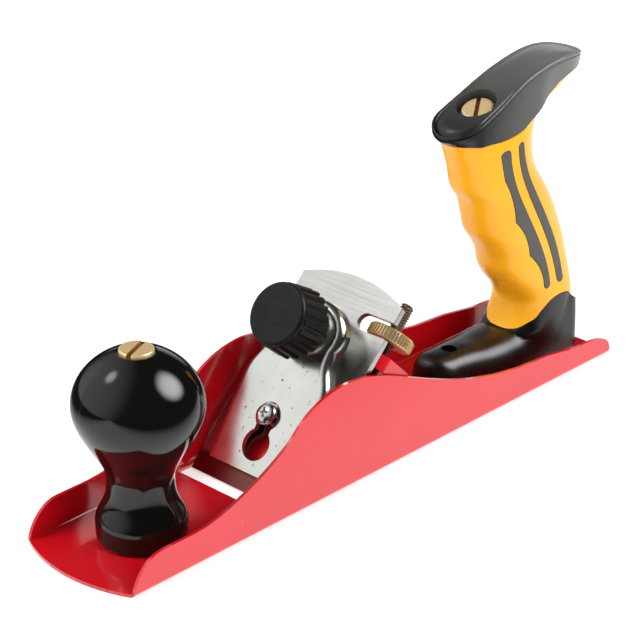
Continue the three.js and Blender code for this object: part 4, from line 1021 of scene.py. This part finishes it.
def top_form():
    """The top's skin: up its sides, round the bead on its rim, and over its low dome."""
    middle, reach = (TOP_FRONT + TOP_TIP) / 2, (TOP_TIP - TOP_FRONT) / 2
    near = [middle - reach * cos(a) for a in steps_between(0, pi, 64)]
    edge = [(x, 0 if x in (TOP_FRONT, TOP_TIP) else -1) for x in near]
    edge += [(x, 1) for x in reversed(near[1:-1])]

    def skirt(down, tuck):
        """A ring below the rim, or on the floor, drawn in under the nose and the tail."""
        loop = []
        for x, side in edge:
            nose, tail = nose_and_tail(x)
            z = TOP_RIM(x) - down if down else TOP_FLOOR
            part = (TOP_RIM(x) - z) / (TOP_RIM(x) - TOP_FLOOR)
            half = max(top_width(x) + SKIRT_SPREAD(x) * part, top_width(x) / 2)
            loop.append((x + tuck * (NOSE_TUCK * nose - TAIL_TUCK * tail ** 3), side * half, z))
        return loop

    def ring(drawn_in, lift, shrink=1.0):
        loop = []
        for x, side in edge:
            inner = middle + (x - middle) * (reach - drawn_in) / reach * shrink
            half = top_width(x) * (1 - drawn_in / TOP_NOSE) * shrink
            loop.append((inner, side * half, TOP_RIM(x if shrink == 1.0 else inner) + lift))
        return loop

    drawn_in, lift = BEAD[-1]
    dome = [ring(drawn_in, lift + DOME_HIGH * (1 - s * s), s)
            for s in (0.97, 0.9, 0.8, 0.65, 0.5, 0.35, 0.2, 0.06)]
    return skin([skirt(None, 1.3), skirt(6.4, 1.0), skirt(4.0, 0.5)]
                + [ring(*step) for step in BEAD] + dome)


print("rim of the top at its highest:", round(max(TOP_RIM(x) for x in range(8, 81)), 1), "mm")

# %% [markdown]
# ## The foot's form
# The foot lies along the sole and climbs at the rear. Upright ovals along its length give it a
# blunt nose and a rounder tail, and they stand closer together at both ends, where it turns most.

# %% The foot's form
FOOT_LONG, FOOT_NOSE, FOOT_TAIL, FOOT_LOW = 78.2, 10.4, 6.6, 0.05
FOOT_SQUARE, TAIL_SQUARE = 2.8, 2.4
FOOT_HALF = through([(10.4, 10.3), (38.4, 13), (66.4, 13)])
FOOT_RISE = through([(0, 5.9), (1.4, 11.4), (4.4, 13.9), (9.4, 14.4), (21, 14), (30, 13.4),
                     (41, 13.4), (46, 14.5), (51, 19), (56, 28), (60, 36), (64, 42)])


def foot_form():
    loops = []
    for a in steps_between(0, pi, 72)[1:-1]:
        x = FOOT_LONG / 2 * (1 - cos(a))
        nose, tail = max(0, 1 - x / FOOT_NOSE), max(0, 1 - (FOOT_LONG - x) / FOOT_TAIL)
        half = FOOT_HALF(x) * sqrt(max(0, 1 - nose ** 2))
        half *= (1 - tail ** TAIL_SQUARE) ** (1 / TAIL_SQUARE)
        loops.append([(x, y, z) for y, z in oval(0, FOOT_LOW, half, FOOT_RISE(x), FOOT_SQUARE)])
    return skin(loops)


print("the foot is", FOOT_LONG, "mm long")

# %% [markdown]
# ## Seams, stripes and bores
# The seams are splines through the places where the mouldings meet. The stripes are outlines on
# the grip's side, and the bores for the rod and its nut stand on the leaning axis.

# %% Seams, stripes and bores
UPPER_SEAM = [(3.4, 97.4), (11.4, 95.6), (21.4, 94.9), (31.4, 94.3), (41.2, 95.2), (46.4, 97.3),
              (52.8, 100.7), (59, 105.1), (67.6, 108.7), (76, 110.3), (86, 111)]
LOWER_SEAM = [(-6.6, 25.2), (28, 19.5), (37.4, 14.9), (41.8, 13.3), (45, 14.1), (48.4, 16.1),
              (51.4, 17.8), (54.4, 20.8), (58.4, 23.6), (63.4, 24.4), (68.4, 23.4), (72.4, 20.2),
              (77.4, 17.2)]
WIDE_STRIPE = curve(
    [(28.6, 88.7), (29.3, 85.4), (30.05, 82), (30.77, 78.7), (34.62, 72.37), (36.81, 66.4),
     (37.34, 60.8), (42.03, 56.07), (44.8, 50.83), (45.66, 45.1), (50.29, 40.83), (53.01, 36.07),
     (53.81, 30.8), (54.2, 28.4), (56.9, 28.2), (57.21, 30.6), (55.3, 44.2), (46.8, 56.2),
     (41.8, 65.7), (36.9, 74.2), (34.2, 81.2), (33.9, 88.9), (33.8, 90.8), (29, 90.8),
     (28.6, 88.7)], 10)[:-1]
SLIM_STRIPE = curve(
    [(38.2, 89.7), (38, 71.2), (55.2, 57.2), (60.9, 31.4), (61.4, 28.9), (64.6, 28.6),
     (64.9, 30.9), (60.8, 57.2), (42.3, 71.2), (41.8, 89.9), (41.6, 91.6), (38.6, 91.6),
     (38.2, 89.7)], 16)[:-1]
SEAM_GAP, STRIPE_GAP = 0.15, 0.16


def beyond(seam, side):
    """All that lies above a seam (1) or below it (-1), right through the handle."""
    def past(end, inner):
        return [2 * e - i for e, i in zip(end, inner)]

    points = [past(seam[0], seam[1])] + seam + [past(seam[-1], seam[-2])]
    line = []
    for a, b, c, d in zip(points, points[1:], points[2:], points[3:]):
        leaving = [b[i] + (c[i] - a[i]) / 6 for i in (0, 1)]
        arriving = [c[i] - (d[i] - b[i]) / 6 for i in (0, 1)]
        line += curve([b, leaving, arriving, c], 5)[:-1]
    line = [(-30, line[0][1])] + line + [seam[-1], (120, seam[-1][1])]
    return right_across([(x, z + side * SEAM_GAP) for x, z in line]
                        + [(120, side * 300), (-30, side * 300)])


def narrowed(outline, inset):
    """An outline drawn in by the same width all round, its corners kept."""
    ahead = outline[1:] + outline[:1]
    turning = sum(a[0] * b[1] - b[0] * a[1] for a, b in zip(outline, ahead))
    inset, drawn = copysign(inset, turning), []
    for a, b, c in zip(outline[-1:] + outline[:-1], outline, ahead):
        way = (Vector(c) - Vector(a)).normalized()
        drawn.append((b[0] - inset * way.y, b[1] + inset * way.x))
    return drawn


def on_rod(form):
    """A form on the leaning rod's axis, in the handle's millimetres."""
    bmesh.ops.transform(form, matrix=HANDLE.inverted() @ ROD, verts=form.verts)
    return form


def rod_bore():
    step = ROD_NUT - BARREL_LONG - LOOSE
    return on_rod(spun([(0, -8), (ROD_BORE, -8), (ROD_BORE, step), (barrel, step),
                        (barrel, ROD_NUT + 1), (0, ROD_NUT + 1)], 48))


print("stripes:", len(WIDE_STRIPE), "and", len(SLIM_STRIPE), "points")

# %% [markdown]
# ## Grip, top and foot
# Each form is cut along its seams and bored. Each side of the grip then gets two shallow grooves,
# and each inlay is the same outline, a hair smaller, so that it sits in its groove and stands
# just proud.

# %% Grip, top and foot
top = shared(top_form(), beyond(UPPER_SEAM, 1))
recess = on_rod(spun([(0, ROD_NUT - 0.3), (7.1, ROD_NUT - 0.3), (7.5, ROD_NUT),
                      (7.5, ROD_NUT + 12), (0, ROD_NUT + 12)], 72))
settle(cut(top, recess, rod_bore()), "handle_top_moulding", HANDLE, top_black,
       "handle_top", angle=45, flat_faces=False)

grip = shared(shared(grip_form(0), beyond(UPPER_SEAM, -1)), beyond(LOWER_SEAM, 1))
grip = cut(grip, rod_bore())
for name, stripe in (("wide", WIDE_STRIPE), ("slim", SLIM_STRIPE)):
    for side, low, high in (("near", -26, 0), ("far", 0, 26)):
        groove = cut(prism(stripe, low, high, axis="Y"), grip_form(1.6, 30, 24))
        grip = cut(grip, groove)
        slab = shared(prism(narrowed(stripe, STRIPE_GAP), low, high, axis="Y"), grip_form(-0.2))
        inlay = cut(slab, grip_form(1.3, 30, 24))
        settle(soften(inlay, 0.12, angle=55, segments=1, flat=0), f"grip_stripe_{name}_{side}",
               HANDLE, grey_plastic, f"grip_inlay_{name}_{side}", angle=50)
settle(grip, "handle_grip_moulding", HANDLE, yellow_plastic, "handle_grip", angle=50,
       flat_faces=False)

under = right_across([(-5, -60), (90, -60), (90, FOOT_LOW), (-5, FOOT_LOW)])
screw_hole = shifted(spun([(0, -2), (2, -2), (2, 4.3), (3, 4.3), (3, 30), (0, 30)], 40), 15.2)
foot = combined(foot_form(), [grip_form(0.02, 20, low=6, high=28)], "UNION")
foot = cut(shared(foot, beyond(LOWER_SEAM, -1)), under, screw_hole, rod_bore())
settle(foot, "handle_foot_moulding", HANDLE, foot_black, "handle_foot", angle=45,
       flat_faces=False)

# %% [markdown]
# ## Finishes for the pieces that keep their packed form
# The rods show only through the holes in the sole, and their packed cylinders are already right,
# as is the small screw deep in the handle's foot. They only need their steel.

# %% Finishes for the pieces that keep their packed form
for node in ("front_knob_rod", "handle_rod", "handle_toe_screw"):
    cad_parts[node].data.materials.clear()
    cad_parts[node].data.materials.append(plain_steel)
    print(node, "keeps its packed form")
